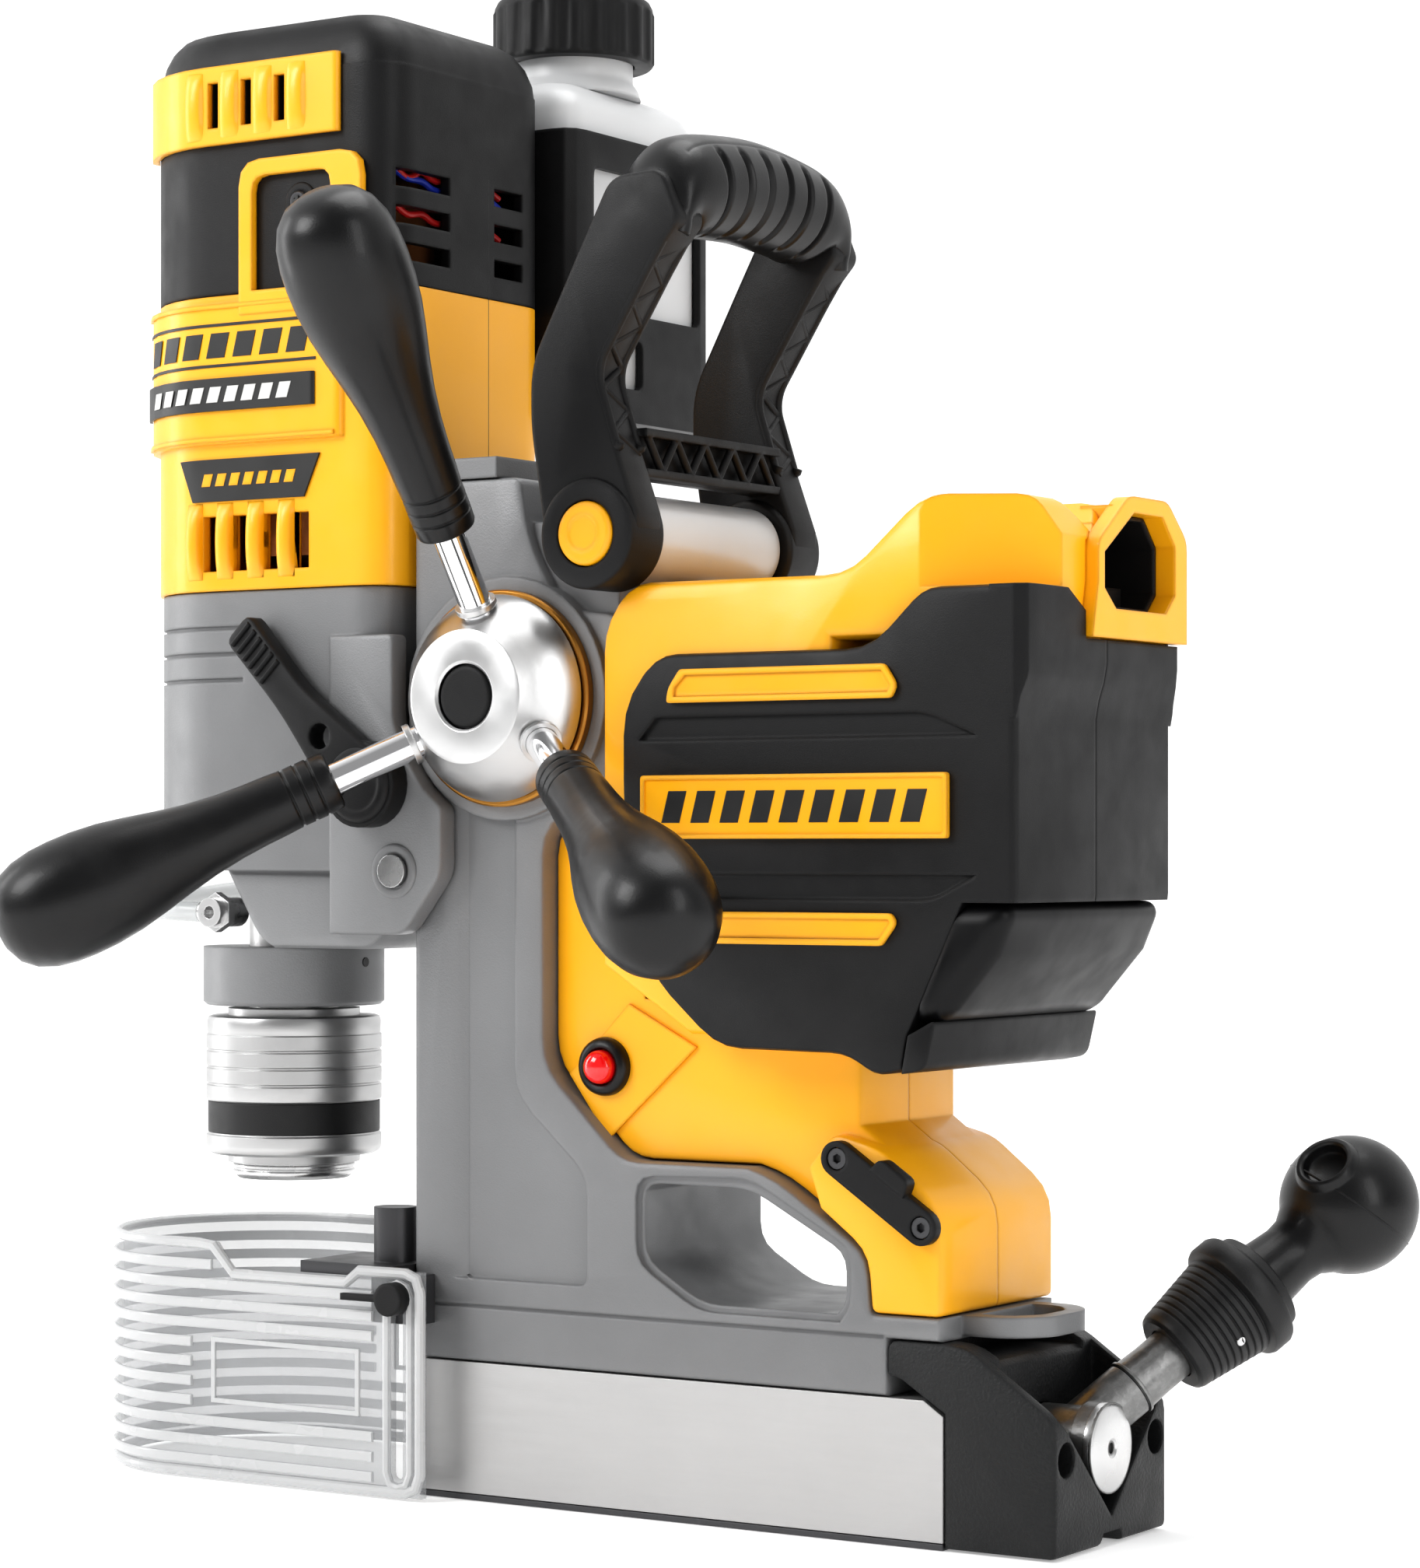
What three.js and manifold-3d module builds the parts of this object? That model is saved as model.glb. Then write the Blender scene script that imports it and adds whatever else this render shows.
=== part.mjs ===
// Magnetic drill press: a lever-switched magnet base, a cast column with a rack-and-pinion slide,
// a motor and gearbox carriage with a quick-change chuck, and a battery housing behind the column.
// Millimetres, +Z up. The drill end points along -X and the lever end along +X. The origin is the
// middle of the magnet's contact face, and Y = 0 is the machine's mid-plane.
import * as THREE from 'three';
import { mergeVertices } from 'three/addons/utils/BufferGeometryUtils.js';
import Module from 'manifold-3d';

const wasm = await Module();
wasm.setup();

// ---------------------------------------------------------------- driving dimensions
const GAP = 0.3;
const DEG = Math.PI / 180;

const MAGNET = { front: -90, rear: 90, half: 33.5, top: 41, plate: 1.7 };
const END_BLOCK = { rear: 125, top: 57, earFront: 72.3, screwY: 27 };
const COLUMN = { front: -92, half: 33.5, top: 303.5, slotHalf: 14.3, slotBack: -66 };
const STRAP_LIP = [[-12, 99, 6], [27, 100, 6], [60.5, 81.5, 5], [60.5, 66, 3], [57, 61], [9.5, 61, 6], [-12, 74, 6]];
const STRAP_HOLE = [[-10, 97, 5], [26, 97, 6], [58, 80, 5], [58, 66, 3], [55, 63], [10, 63, 6], [-10, 75, 6]];

const SPINDLE_X = -164.8;
const MOTOR = { radius: 42, wall: 3.4, rear: -95.3, bottom: 273, split: 363.7, capTop: 447 };
const GEARBOX = { radius: 41, rear: -98.3, bottom: 163.3, noseTop: 187, top: 272.7 };
const CHUCK = { radius: 27.6, bore: 9.5, noseBottom: 90, sleeveBottom: 95, sleeveTop: 141 };
const QUILL = { radius: 28.5, bottom: 144.6 };

const CAPSTAN = { x: -57, z: 238, apexY: -32, hubBack: -39.8, hubFront: -56.2, lean: 34 * DEG };
const ROD = { radius: 4.8, start: 21, end: 118 };
const PINION_RADIUS = 11;

const HANDLE = { x: -17, z: 284, inner: 34, outer: 52, boss: 16, gripX: 2, gripZ: 382, gripRadius: 15.5 };
const LOCK_BUTTON_RADIUS = 9.3;

const LEVER = { x: 110, z: 27, shaftRadius: 10.4 };
const LEVER_DIRECTION = new THREE.Vector3(53.5, 74, 64).normalize();
const LEVER_SPAN = { joint: 25, sleeve: 41, sleeveEnd: 76, ball: 111.6, ballRadius: 20 };

const GUARD = { half: 46, wall: 2.5, rear: -80, curveX: -178, bottom: 1, top: 73, slotX: -89 };

const BOTTLE = { x: -116, y: 85.15, halfX: 25, halfY: 38.85, bottom: 334.2, shoulder: 434, neck: 19.5 };
const CRADLE_WALL = 2.6;

const HOUSING = { half: 43.2, neckHalf: 27, blockHalf: 33.2, coverHalf: 47, rear: 121.5 };
const RED_BUTTON = { x: -26, z: 130, radius: 5 };

// ---------------------------------------------------------------- materials
const surface = (color, roughness, metalness = 0) =>
  new THREE.MeshStandardMaterial({ color, roughness, metalness });

const YELLOW = surface(0xfdbb24, 0.45);
const CHARCOAL = surface(0x2b2b2c, 0.6);
const GLOSS_BLACK = surface(0x111111, 0.2);
const RUBBER = surface(0x1b1b1b, 0.75);
const CASTING = surface(0x7f8081, 0.55, 0.5);
const DARK_CASTING = surface(0x3b3c3e, 0.7, 0.3);
const STEEL = surface(0xc9c8c6, 0.35, 0.9);
const DARK_STEEL = surface(0x55565a, 0.45, 0.8);
const CHROME = surface(0xe6e6e6, 0.1, 1);
const BRONZE = surface(0xb9812f, 0.35, 0.9);
const CLEAR = new THREE.MeshStandardMaterial({ color: 0xf2f5f6, roughness: 0.1, transparent: true, opacity: 0.4 });
const BOTTLE_WHITE = surface(0xf3f4f4, 0.5);
const RED = surface(0xe0211f, 0.2);
const SILVER_PAINT = surface(0xe2e3e4, 0.4, 0.4);

// ---------------------------------------------------------------- solids and booleans
function solidOf(geometry) {
  const bare = geometry.clone();
  bare.deleteAttribute('normal');
  bare.deleteAttribute('uv');
  const merged = mergeVertices(bare, 1e-4);
  const index = [];
  for (let i = 0; i < merged.index.count; i += 3) {
    const [a, b, c] = [merged.index.getX(i), merged.index.getX(i + 1), merged.index.getX(i + 2)];
    if (a !== b && b !== c && c !== a) index.push(a, b, c);
  }
  if (signedVolume(merged.attributes.position, index) < 0) index.reverse();
  return new wasm.Manifold(new wasm.Mesh({
    numProp: 3,
    vertProperties: new Float32Array(merged.attributes.position.array),
    triVerts: new Uint32Array(index),
  }));
}

function signedVolume(position, index) {
  const [a, b, c] = [new THREE.Vector3(), new THREE.Vector3(), new THREE.Vector3()];
  let volume = 0;
  for (let i = 0; i < index.length; i += 3) {
    a.fromBufferAttribute(position, index[i]);
    b.fromBufferAttribute(position, index[i + 1]);
    c.fromBufferAttribute(position, index[i + 2]);
    volume += a.dot(b.cross(c));
  }
  return volume;
}

function join(...solids) {
  return solids.reduce((whole, piece) => whole.add(piece));
}

function cut(body, ...tools) {
  return tools.reduce((left, tool) => left.subtract(tool), body);
}

function meshOf(name, solid, material) {
  const { vertProperties, triVerts } = solid.getMesh();
  const geometry = new THREE.BufferGeometry();
  geometry.setAttribute('position', new THREE.BufferAttribute(vertProperties, 3));
  geometry.setIndex(new THREE.BufferAttribute(triVerts, 1));
  geometry.computeVertexNormals();
  const mesh = new THREE.Mesh(geometry, material);
  mesh.name = name;
  return mesh;
}

// A closed outline from [a, b] or [a, b, round] corners. A round corner starts and ends `round`
// away from the corner point.
function outline(corners) {
  const shape = new THREE.Shape();
  corners.forEach(([a, b, round = 0], i) => {
    const corner = new THREE.Vector2(a, b);
    const before = new THREE.Vector2(...corners.at(i - 1).slice(0, 2)).sub(corner).setLength(round);
    const after = new THREE.Vector2(...corners[(i + 1) % corners.length].slice(0, 2)).sub(corner).setLength(round);
    const [start, end] = [before.add(corner), after.add(corner)];
    if (i === 0) shape.moveTo(start.x, start.y);
    else shape.lineTo(start.x, start.y);
    if (round > 0) shape.quadraticCurveTo(a, b, end.x, end.y);
  });
  shape.closePath();
  return shape;
}

// An outline drawn in the plane across `axis` and extruded from `from` to `to` along it.
// Outlines across Y are drawn in (X, Z), across X in (Y, Z) and across Z in (X, Y).
function prism(axis, corners, from, to, bevel = 0, curveSegments = 3) {
  const shape = Array.isArray(corners) ? outline(corners) : corners;
  const geometry = new THREE.ExtrudeGeometry(shape, {
    depth: to - from - 2 * bevel,
    curveSegments,
    bevelEnabled: bevel > 0,
    bevelThickness: bevel,
    bevelSize: bevel,
    bevelOffset: -bevel,
    bevelSegments: 2,
  });
  geometry.translate(0, 0, bevel);
  if (axis === 'y') geometry.rotateX(Math.PI / 2).translate(0, to, 0);
  if (axis === 'x') {
    const turn = new THREE.Matrix4().makeBasis(
      new THREE.Vector3(0, 1, 0), new THREE.Vector3(0, 0, 1), new THREE.Vector3(1, 0, 0));
    geometry.applyMatrix4(turn).translate(from, 0, 0);
  }
  if (axis === 'z') geometry.translate(0, 0, from);
  return solidOf(geometry);
}

function box(x0, x1, y0, y1, z0, z1) {
  const geometry = new THREE.BoxGeometry(x1 - x0, y1 - y0, z1 - z0);
  geometry.translate((x0 + x1) / 2, (y0 + y1) / 2, (z0 + z1) / 2);
  return solidOf(geometry);
}

// A solid of revolution: the profile lists [radius, distance along the line from `start`].
function turned(profile, start, direction, segments = 24) {
  const points = profile.map(([radius, along]) => new THREE.Vector2(radius, along));
  const geometry = new THREE.LatheGeometry(points, segments);
  const turn = new THREE.Quaternion().setFromUnitVectors(new THREE.Vector3(0, 1, 0), direction);
  geometry.applyQuaternion(turn).translate(start.x, start.y, start.z);
  return solidOf(geometry);
}

const AXES = { x: new THREE.Vector3(1, 0, 0), y: new THREE.Vector3(0, 1, 0), z: new THREE.Vector3(0, 0, 1) };

// A Y range from `inner` to `outer` on the near half (side -1) or the far half (side 1).
const sideRange = (side, inner, outer) => (side < 0 ? [-outer, -inner] : [inner, outer]);

// A plain cylinder along an axis, through the point with the two other coordinates [a, b].
function drum(axis, [a, b], radius, from, to, segments = 24) {
  const start = {
    x: new THREE.Vector3(from, a, b),
    y: new THREE.Vector3(a, from, b),
    z: new THREE.Vector3(a, b, from),
  }[axis];
  const length = to - from;
  return turned([[0, 0], [radius, 0], [radius, length], [0, length]], start, AXES[axis], segments);
}

// The motor's plan: a half round nose about the spindle, flat flanks and a rear with round corners.
function plan(radius, rear, corner = 14) {
  const shape = new THREE.Shape();
  shape.absarc(SPINDLE_X, 0, radius, -Math.PI / 2, Math.PI / 2, true);
  shape.lineTo(rear - corner, radius);
  shape.quadraticCurveTo(rear, radius, rear, radius - corner);
  shape.lineTo(rear, corner - radius);
  shape.quadraticCurveTo(rear, -radius, rear - corner, -radius);
  shape.closePath();
  return shape;
}

const planPrism = (radius, rear, from, to) => prism('z', plan(radius, rear), from, to, 0, 8);

// The same plan with its top edge rounded over: rings that shrink as they climb, closed by two fans.
function domedPlan(radius, rear, from, to, round, height, steps = 5) {
  const rings = [{ inset: 0, z: from }];
  for (let i = 0; i <= steps; i++) {
    const turn = (i / steps) * Math.PI / 2;
    rings.push({ inset: round * (1 - Math.cos(turn)), z: to - height + height * Math.sin(turn) });
  }
  const points = [];
  let count = 0;
  for (const { inset, z } of rings) {
    const ring = plan(radius - inset, rear - inset * 1.5, 14 - inset * 0.6).getPoints(8).slice(0, -1);
    count = ring.length;
    points.push(...ring.flatMap(({ x, y }) => [x, y, z]));
  }
  const index = [];
  for (let ring = 0; ring < rings.length - 1; ring++) {
    for (let i = 0; i < count; i++) {
      const [a, b] = [ring * count + i, ring * count + (i + 1) % count];
      index.push(a, b, b + count, a, b + count, a + count);
    }
  }
  const [bottom, top] = [points.length / 3, points.length / 3 + 1];
  points.push(SPINDLE_X + 10, 0, from, SPINDLE_X + 10, 0, to);
  const last = (rings.length - 1) * count;
  for (let i = 0; i < count; i++) {
    index.push(bottom, (i + 1) % count, i, top, last + i, last + (i + 1) % count);
  }
  const geometry = new THREE.BufferGeometry();
  geometry.setAttribute('position', new THREE.Float32BufferAttribute(points, 3));
  geometry.setIndex(index);
  return solidOf(geometry);
}

// ---------------------------------------------------------------- magnet base and its lever
function magnetBlock() {
  const side = [
    [MAGNET.front, MAGNET.plate + GAP], [MAGNET.rear, MAGNET.plate + GAP], [MAGNET.rear, 36.9],
    [83.8, MAGNET.top], [MAGNET.front, MAGNET.top],
  ];
  const body = prism('y', side, -MAGNET.half, MAGNET.half);
  return cut(body, drum('x', [0, LEVER.z], LEVER.shaftRadius + GAP, -62, MAGNET.rear + 1));
}

function endBlock() {
  const front = MAGNET.rear + GAP;
  const side = [
    [front, 0.5], [END_BLOCK.rear, 0.5, 2], [END_BLOCK.rear, 38, 4], [97, END_BLOCK.top, 6],
    [END_BLOCK.earFront, END_BLOCK.top, 3], [END_BLOCK.earFront, 47.5], [76.5, 46.2], [front, 37.6],
  ];
  const body = prism('y', side, -MAGNET.half, MAGNET.half, 1);
  const swing = prism('x', [[0, 8], [30, 38], [30, 70], [-30, 70], [-30, 38]], 103, 126);
  const shaftBore = drum('x', [0, LEVER.z], LEVER.shaftRadius + 1, front - 1, 104);
  const tray = prism('y', [[80, 52], [101, 52], [108, 47], [112, 60], [80, 60]], -25, 25);
  const relief = prism('x', [[-8, -1], [8, -1], [5, 4], [-5, 4]], 112, 126);
  const screwHoles = [-1, 1].map((side) => drum('x', [side * END_BLOCK.screwY, LEVER.z], 5, 112, 126, 16));
  return cut(body, swing, shaftBore, tray, relief, ...screwHoles);
}

function endBlockScrew(side) {
  const at = [side * END_BLOCK.screwY, LEVER.z];
  return cut(drum('x', at, 4.6, 112.3, 120, 16), drum('x', at, 2, 116, 121, 6));
}

const alongLever = (distance) =>
  new THREE.Vector3(LEVER.x, 0, LEVER.z).addScaledVector(LEVER_DIRECTION, distance);

function magnetShaft() {
  const rotor = drum('x', [0, LEVER.z], LEVER.shaftRadius, -61, 104);
  const hub = drum('x', [0, LEVER.z], 11.2, 103.5, 119);
  const disc = drum('x', [0, LEVER.z], 12.7, 118, 124.8, 32);
  const stub = turned([[0, 0], [8, 0], [8, LEVER_SPAN.joint], [0, LEVER_SPAN.joint]],
    alongLever(0), LEVER_DIRECTION);
  const pinMark = drum('x', [0, LEVER.z], 1.6, 123, 126, 12);
  return cut(join(rotor, hub, disc, stub), pinMark);
}

function leverArm() {
  const start = LEVER_SPAN.joint + GAP;
  const profile = [[0, 0], [8, 0], [7.6, 8], [7.6, 50], [6, 50], [6, 68], [0, 68]];
  return turned(profile, alongLever(start), LEVER_DIRECTION);
}

function lockSleeve() {
  const profile = [
    [8, 0], [11, 0], [12.8, 3], [14.5, 22], [17, 24], [18.5, 28], [18.5, 32], [16.5, 35], [8, 35],
  ];
  const shell = turned([...profile, profile[0]], alongLever(LEVER_SPAN.sleeve), LEVER_DIRECTION, 28);
  const across = new THREE.Vector3(0, 0, 1).cross(LEVER_DIRECTION).normalize();
  const down = LEVER_DIRECTION.clone().cross(across);
  const window = turned([[0, 0], [2, 0], [2, 12], [0, 12]],
    alongLever(LEVER_SPAN.sleeve + 12).addScaledVector(down, -19), down, 10);
  return cut(shell, window);
}

function leverKnob() {
  const { sleeveEnd, ball, ballRadius } = LEVER_SPAN;
  const neckStart = sleeveEnd + GAP;
  const profile = [[6.3, 0], [10, 0], [9.6, ball - neckStart - 17]];
  for (let angle = -60; angle <= 90; angle += 15) {
    const turn = angle * DEG;
    profile.push([ballRadius * Math.cos(turn), ball - neckStart + ballRadius * Math.sin(turn)]);
  }
  profile.at(-1)[0] = 0;
  profile.push([0, 18], [6.3, 18], profile[0]);
  const knob = turned(profile, alongLever(neckStart), LEVER_DIRECTION, 28);
  const dish = new THREE.Vector3(0.45, -0.72, 0.53).normalize();
  const recess = turned([[0, 0], [9, 0], [9, 20], [0, 20]],
    alongLever(ball).addScaledVector(dish, 15), dish, 20);
  return cut(knob, recess);
}

// ---------------------------------------------------------------- column
function columnCasting() {
  const side = [
    [-90, 41.3], [72, 41.3], [72, 57.3], [89, 57.3], [89, 63.7], [66.5, 63.7, 2], [65, 80.5, 6],
    [34, 101, 8], [26, 103], [-17, 103, 6], [-45, 130, 8], [-45, 200, 8], [-18, 214, 4],
    [-18, 262, 4], [-38, 264, 8], [-50, 284, 8], [-53, COLUMN.top, 3], [COLUMN.front, COLUMN.top],
    [COLUMN.front, 62, 8],
  ];
  const plate = prism('y', side, -COLUMN.half, COLUMN.half, 1.5);
  const lug = box(-54, HANDLE.x - 3, -30, 30, 255, 290);
  const pad = drum('y', [CAPSTAN.x, CAPSTAN.z], 36, -35.9, -30, 40)
    .intersect(box(COLUMN.front, 0, -40, 0, 200, 280));
  const strapLug = cut(
    prism('z', [[80, -21], [104, -21, 7], [112, -10, 4], [112, 10, 4], [104, 21, 7], [80, 21]], 58, 63.7),
    prism('z', [[92, -15], [101, -15, 4], [107, -7, 3], [107, 7, 3], [101, 15, 4], [92, 15]], 50, 70));
  const faces = [-1, 1].flatMap((side) => {
    const depth = (inner) => sideRange(side, inner, COLUMN.half + 1);
    const chamfer = [[-77.6, 33.5], [-77.6, 34.5], [-72.4, 34.5], [-72.4, 32]].map(([x, y]) => [x, side * y]);
    return [
      prism('y', [[-72.6, 66, 2], [-29, 66, 3], [-29, 98, 6], [-54.8, 121, 8], [-54.8, 215], [-72.6, 215]],
        ...depth(32)),
      prism('z', side > 0 ? chamfer : chamfer.reverse(), 66, 215),
      prism('y', STRAP_LIP, ...depth(31.6)),
      box(-85, 71, ...depth(32.8), 57.3, 58.3),
    ];
  });
  const barrelSeat = drum('y', [HANDLE.x, HANDLE.z], 13.3, -40, 40);
  const strapHole = prism('y', STRAP_HOLE, -40, 40);
  const slot = box(COLUMN.front - 1, COLUMN.slotBack, -COLUMN.slotHalf, COLUMN.slotHalf, 64, 310);
  const centre = [CAPSTAN.x, CAPSTAN.z];
  const gearPocket = drum('y', centre, 12.5, -COLUMN.slotHalf, COLUMN.slotHalf);
  const bearingBore = drum('y', centre, 7.4, -40, 26);
  return cut(join(plate, lug, pad, strapLug), ...faces, barrelSeat, strapHole, slot, gearPocket, bearingBore);
}

function slideBar() {
  const [tip, root] = [-69, -71];
  const bar = box(MOTOR.rear + GAP, root, -13.9, 13.9, 150, 300);
  const foot = box(GEARBOX.rear + GAP, root, -13.9, 13.9, 150, GEARBOX.top);
  const teeth = [];
  const pitch = PINION_RADIUS * Math.PI / 9;
  for (let z = 156; z < 294; z += pitch) {
    teeth.push(prism('y', [[root - 0.5, z], [root - 0.5, z + 2.6], [tip, z + 1.8], [tip, z + 0.8]], -13, 13));
  }
  return join(bar, foot, ...teeth);
}

// ---------------------------------------------------------------- capstan
const capstanCentre = new THREE.Vector3(CAPSTAN.x, 0, CAPSTAN.z);

function spokeDirection(angle) {
  const radial = new THREE.Vector3(Math.cos(angle), 0, Math.sin(angle));
  return radial.multiplyScalar(Math.cos(CAPSTAN.lean)).addScaledVector(AXES.y, -Math.sin(CAPSTAN.lean));
}

function spokeStart(angle, distance) {
  return capstanCentre.clone().setY(CAPSTAN.apexY).addScaledVector(spokeDirection(angle), distance);
}

function capstanHub(spokeAngles) {
  const depth = CAPSTAN.hubBack - CAPSTAN.hubFront;
  const profile = [
    [9.6, 0], [19, 0], [20.2, 1.2], [23.5, 4.5], [27, 8.5], [29.6, 12.4], [30.6, depth], [9.6, depth], [9.6, 0],
  ];
  const hub = turned(profile, capstanCentre.clone().setY(CAPSTAN.hubFront), AXES.y, 40);
  const sockets = spokeAngles.map((angle) =>
    turned([[0, 0], [ROD.radius + 0.25, 0], [ROD.radius + 0.25, 30], [0, 30]],
      spokeStart(angle, ROD.start - 0.5), spokeDirection(angle), 20));
  return cut(hub, ...sockets);
}

function pinionShaft() {
  const teeth = 18;
  const gear = new THREE.Shape();
  for (let i = 0; i < teeth * 2; i++) {
    const radius = i % 2 ? PINION_RADIUS - 1.4 : PINION_RADIUS + 0.6;
    const turn = (i + 0.5) * Math.PI / teeth;
    const point = [CAPSTAN.x + radius * Math.cos(turn), CAPSTAN.z + radius * Math.sin(turn)];
    if (i === 0) gear.moveTo(...point);
    else gear.lineTo(...point);
  }
  gear.closePath();
  const centre = [CAPSTAN.x, CAPSTAN.z];
  const plug = drum('y', centre, 9.3, CAPSTAN.hubFront + 1.5, CAPSTAN.hubBack);
  return join(plug, drum('y', centre, 7, CAPSTAN.hubBack - 1, 25), prism('y', gear, -13, 13));
}

function capstanGrip(angle) {
  const profile = [
    [5.3, 0], [8.4, 0], [9.2, 2.5], [9.4, 16], [10.6, 34], [13.6, 54], [16.6, 70], [17.9, 81], [17.6, 90],
    [15, 99.5], [9.5, 105.5], [0, 107.5], [0, 62], [5.3, 62], [5.3, 0],
  ];
  return turned(profile, spokeStart(angle, 57.5), spokeDirection(angle), 20);
}

// ---------------------------------------------------------------- carriage
function gearboxHousing() {
  const upper = planPrism(GEARBOX.radius, GEARBOX.rear, GEARBOX.noseTop, GEARBOX.top);
  const noseSide = [
    [-163, 188], [-161, 184], [-150, 166, 4], [-145, GEARBOX.bottom], [-106, GEARBOX.bottom, 4],
    [GEARBOX.rear, 170], [GEARBOX.rear, 188],
  ];
  const nose = prism('y', noseSide, -37, 37, 3);
  const cheekSide = [
    [-118, 258], [-94, 258, 2], [-94, 232, 3], [-90, 222], [-83, 212], [-76, 206, 2], [-76, 186, 4],
    [-90, 168, 4], [-118, 168],
  ];
  const cheeks = [[-42, -34.2], [34.2, 42]].map(([y0, y1]) => prism('y', cheekSide, y0, y1, 1));
  const web = box(-118, GEARBOX.rear, -41, 41, 172, 258);
  const spindleBore = drum('z', [SPINDLE_X, 0], 15, GEARBOX.bottom - 1, 240);
  const fittingSeat = drum('y', [-168, 174], 8, -60, -20, 16);
  const grooves = [245, 253, 261].map((z) => planPrism(GEARBOX.radius + 2, GEARBOX.rear, z, z + 1.2)
    .subtract(planPrism(GEARBOX.radius - 0.9, GEARBOX.rear, z - 1, z + 3))
    .intersect(box(-220, -152, -60, 60, 200, 280)));
  return cut(join(upper, nose, web, ...cheeks), spindleBore, fittingSeat, ...grooves);
}

function motorHousing() {
  const inner = MOTOR.radius - MOTOR.wall;
  const shell = planPrism(MOTOR.radius, MOTOR.rear, MOTOR.bottom, MOTOR.split);
  const pad = prism('z', plan(MOTOR.radius + 2.3, -112, 3), 318, 361, 0, 8)
    .intersect(box(-220, -100, -60, -4, 300, 370));
  const frameOuter = [[-150.5, 357], [-150.5, 404, 8], [-103.5, 404, 8], [-103.5, 357]];
  const frameInner = [[-145.5, 364], [-145.5, 399, 5], [-115, 399, 5], [-115, 364]];
  const near = -MOTOR.radius - GAP;
  const frame = cut(prism('y', frameOuter, near - 2.6, near), prism('y', frameInner, near - 4, near + 2));
  const foot = prism('y', [[-150.5, 357], [-150.5, 361], [-103.5, 361], [-103.5, 357]], near - 1, near + 2);
  const hollow = planPrism(inner, MOTOR.rear - MOTOR.wall, MOTOR.bottom - 1, MOTOR.split + 1);
  const lowVents = [0, 1, 2, 3].map((i) => box(-167 + i * 12, -161.5 + i * 12, -60, -36, 279, 296));
  return cut(join(shell, pad, frame, foot), hollow, ...lowVents);
}

function motorCap() {
  const lower = planPrism(MOTOR.radius, MOTOR.rear, MOTOR.split + GAP, 430);
  const crown = domedPlan(MOTOR.radius, MOTOR.rear, 414, MOTOR.capTop, 10, 19);
  const inner = MOTOR.radius - MOTOR.wall;
  const hollow = planPrism(inner, MOTOR.rear - MOTOR.wall, MOTOR.split - 1, 432);
  const slots = [];
  for (let row = 0; row < 3; row++) {
    const z = 371 + row * 11;
    slots.push(box(-102, -90, -36, -11, z, z + 5.5), box(-102, -90, 12, 27, z, z + 5.5));
  }
  const vents = [0, 1, 2].map((i) => box(-163 + i * 13, -159 + i * 13, -60, -37, 415, 429));
  return cut(join(lower, crown), hollow, ...slots, ...vents);
}

// A band that follows the motor's plan, `stand` outside it and `thick` deep, on the near flank.
function flankBand(stand, thick, from, to, rear, front) {
  const radius = MOTOR.radius + stand;
  const outer = prism('z', plan(radius + thick, rear, 2), from, to, 0, 8);
  const inner = prism('z', plan(radius, rear + 20, 2), from - 1, to + 1, 0, 8);
  const keep = box(front, rear + 1, -radius - 10, -6, from - 2, to + 2);
  return outer.subtract(inner).intersect(keep);
}

function ventPanel() {
  const slots = [0, 1, 2].map((i) => box(-163 + i * 13, -159 + i * 13, -60, -37, 415, 429));
  return cut(flankBand(GAP, 2.2, 410, 434, -113, -200), ...slots);
}

function quill() {
  const axis = new THREE.Vector3(SPINDLE_X, 0, QUILL.bottom);
  const height = GEARBOX.bottom - GAP - QUILL.bottom;
  const r = QUILL.radius;
  return turned([[14.5, 0], [r - 1, 0], [r, 1], [r, height], [14.5, height], [14.5, 0]], axis, AXES.z, 40);
}

function spindleChuck() {
  const { noseBottom, sleeveBottom } = CHUCK;
  const base = new THREE.Vector3(SPINDLE_X, 0, noseBottom);
  const profile = [
    [CHUCK.bore, 0], [17.6, 0], [18.8, 1.2], [18.8, sleeveBottom - noseBottom], [20.8, sleeveBottom - noseBottom],
    [20.8, 53.5], [14, 53.5], [14, 140], [0, 140], [0, 45], [CHUCK.bore, 45], [CHUCK.bore, 0],
  ];
  return turned(profile, base, AXES.z, 40);
}

function chuckSleeve() {
  const height = CHUCK.sleeveTop - CHUCK.sleeveBottom;
  const r = CHUCK.radius;
  const profile = [
    [21.1, 0], [r - 1.2, 0], [r, 1.5], [r, 7], [r - 0.6, 8], [r - 0.6, 18], [r, 19], [r, height - 1.5],
    [r - 1.5, height], [21.1, height], [21.1, 0],
  ];
  return turned(profile, new THREE.Vector3(SPINDLE_X, 0, CHUCK.sleeveBottom), AXES.z, 40);
}

const GEAR_LEVER = { x: -101, z: 213, radius: 13, tipX: -147, tipZ: 261 };

function gearLever() {
  const { x, z, radius, tipX, tipZ } = GEAR_LEVER;
  const along = new THREE.Vector2(tipX - x, tipZ - z).normalize();
  const across = new THREE.Vector2(-along.y, along.x);
  const at = (distance, side) => [x + along.x * distance + across.x * side, z + along.y * distance + across.y * side];
  const length = Math.hypot(tipX - x, tipZ - z);
  const arm = [[...at(0, -11)], [...at(36, -5), 6], [...at(length, -6), 3], [...at(length, 6), 3],
    [...at(36, 6), 8], [...at(0, 11)]];
  const outer = -GEARBOX.radius - 9.5;
  const blade = prism('y', arm, outer, -GEARBOX.radius - 2.5, 1);
  const boss = drum('y', [x, z], radius, outer + 1, -GEARBOX.radius - 1 - GAP, 28);
  const eye = drum('y', at(20, 0), 4, -70, -30, 14);
  return cut(join(blade, boss), eye);
}

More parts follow.
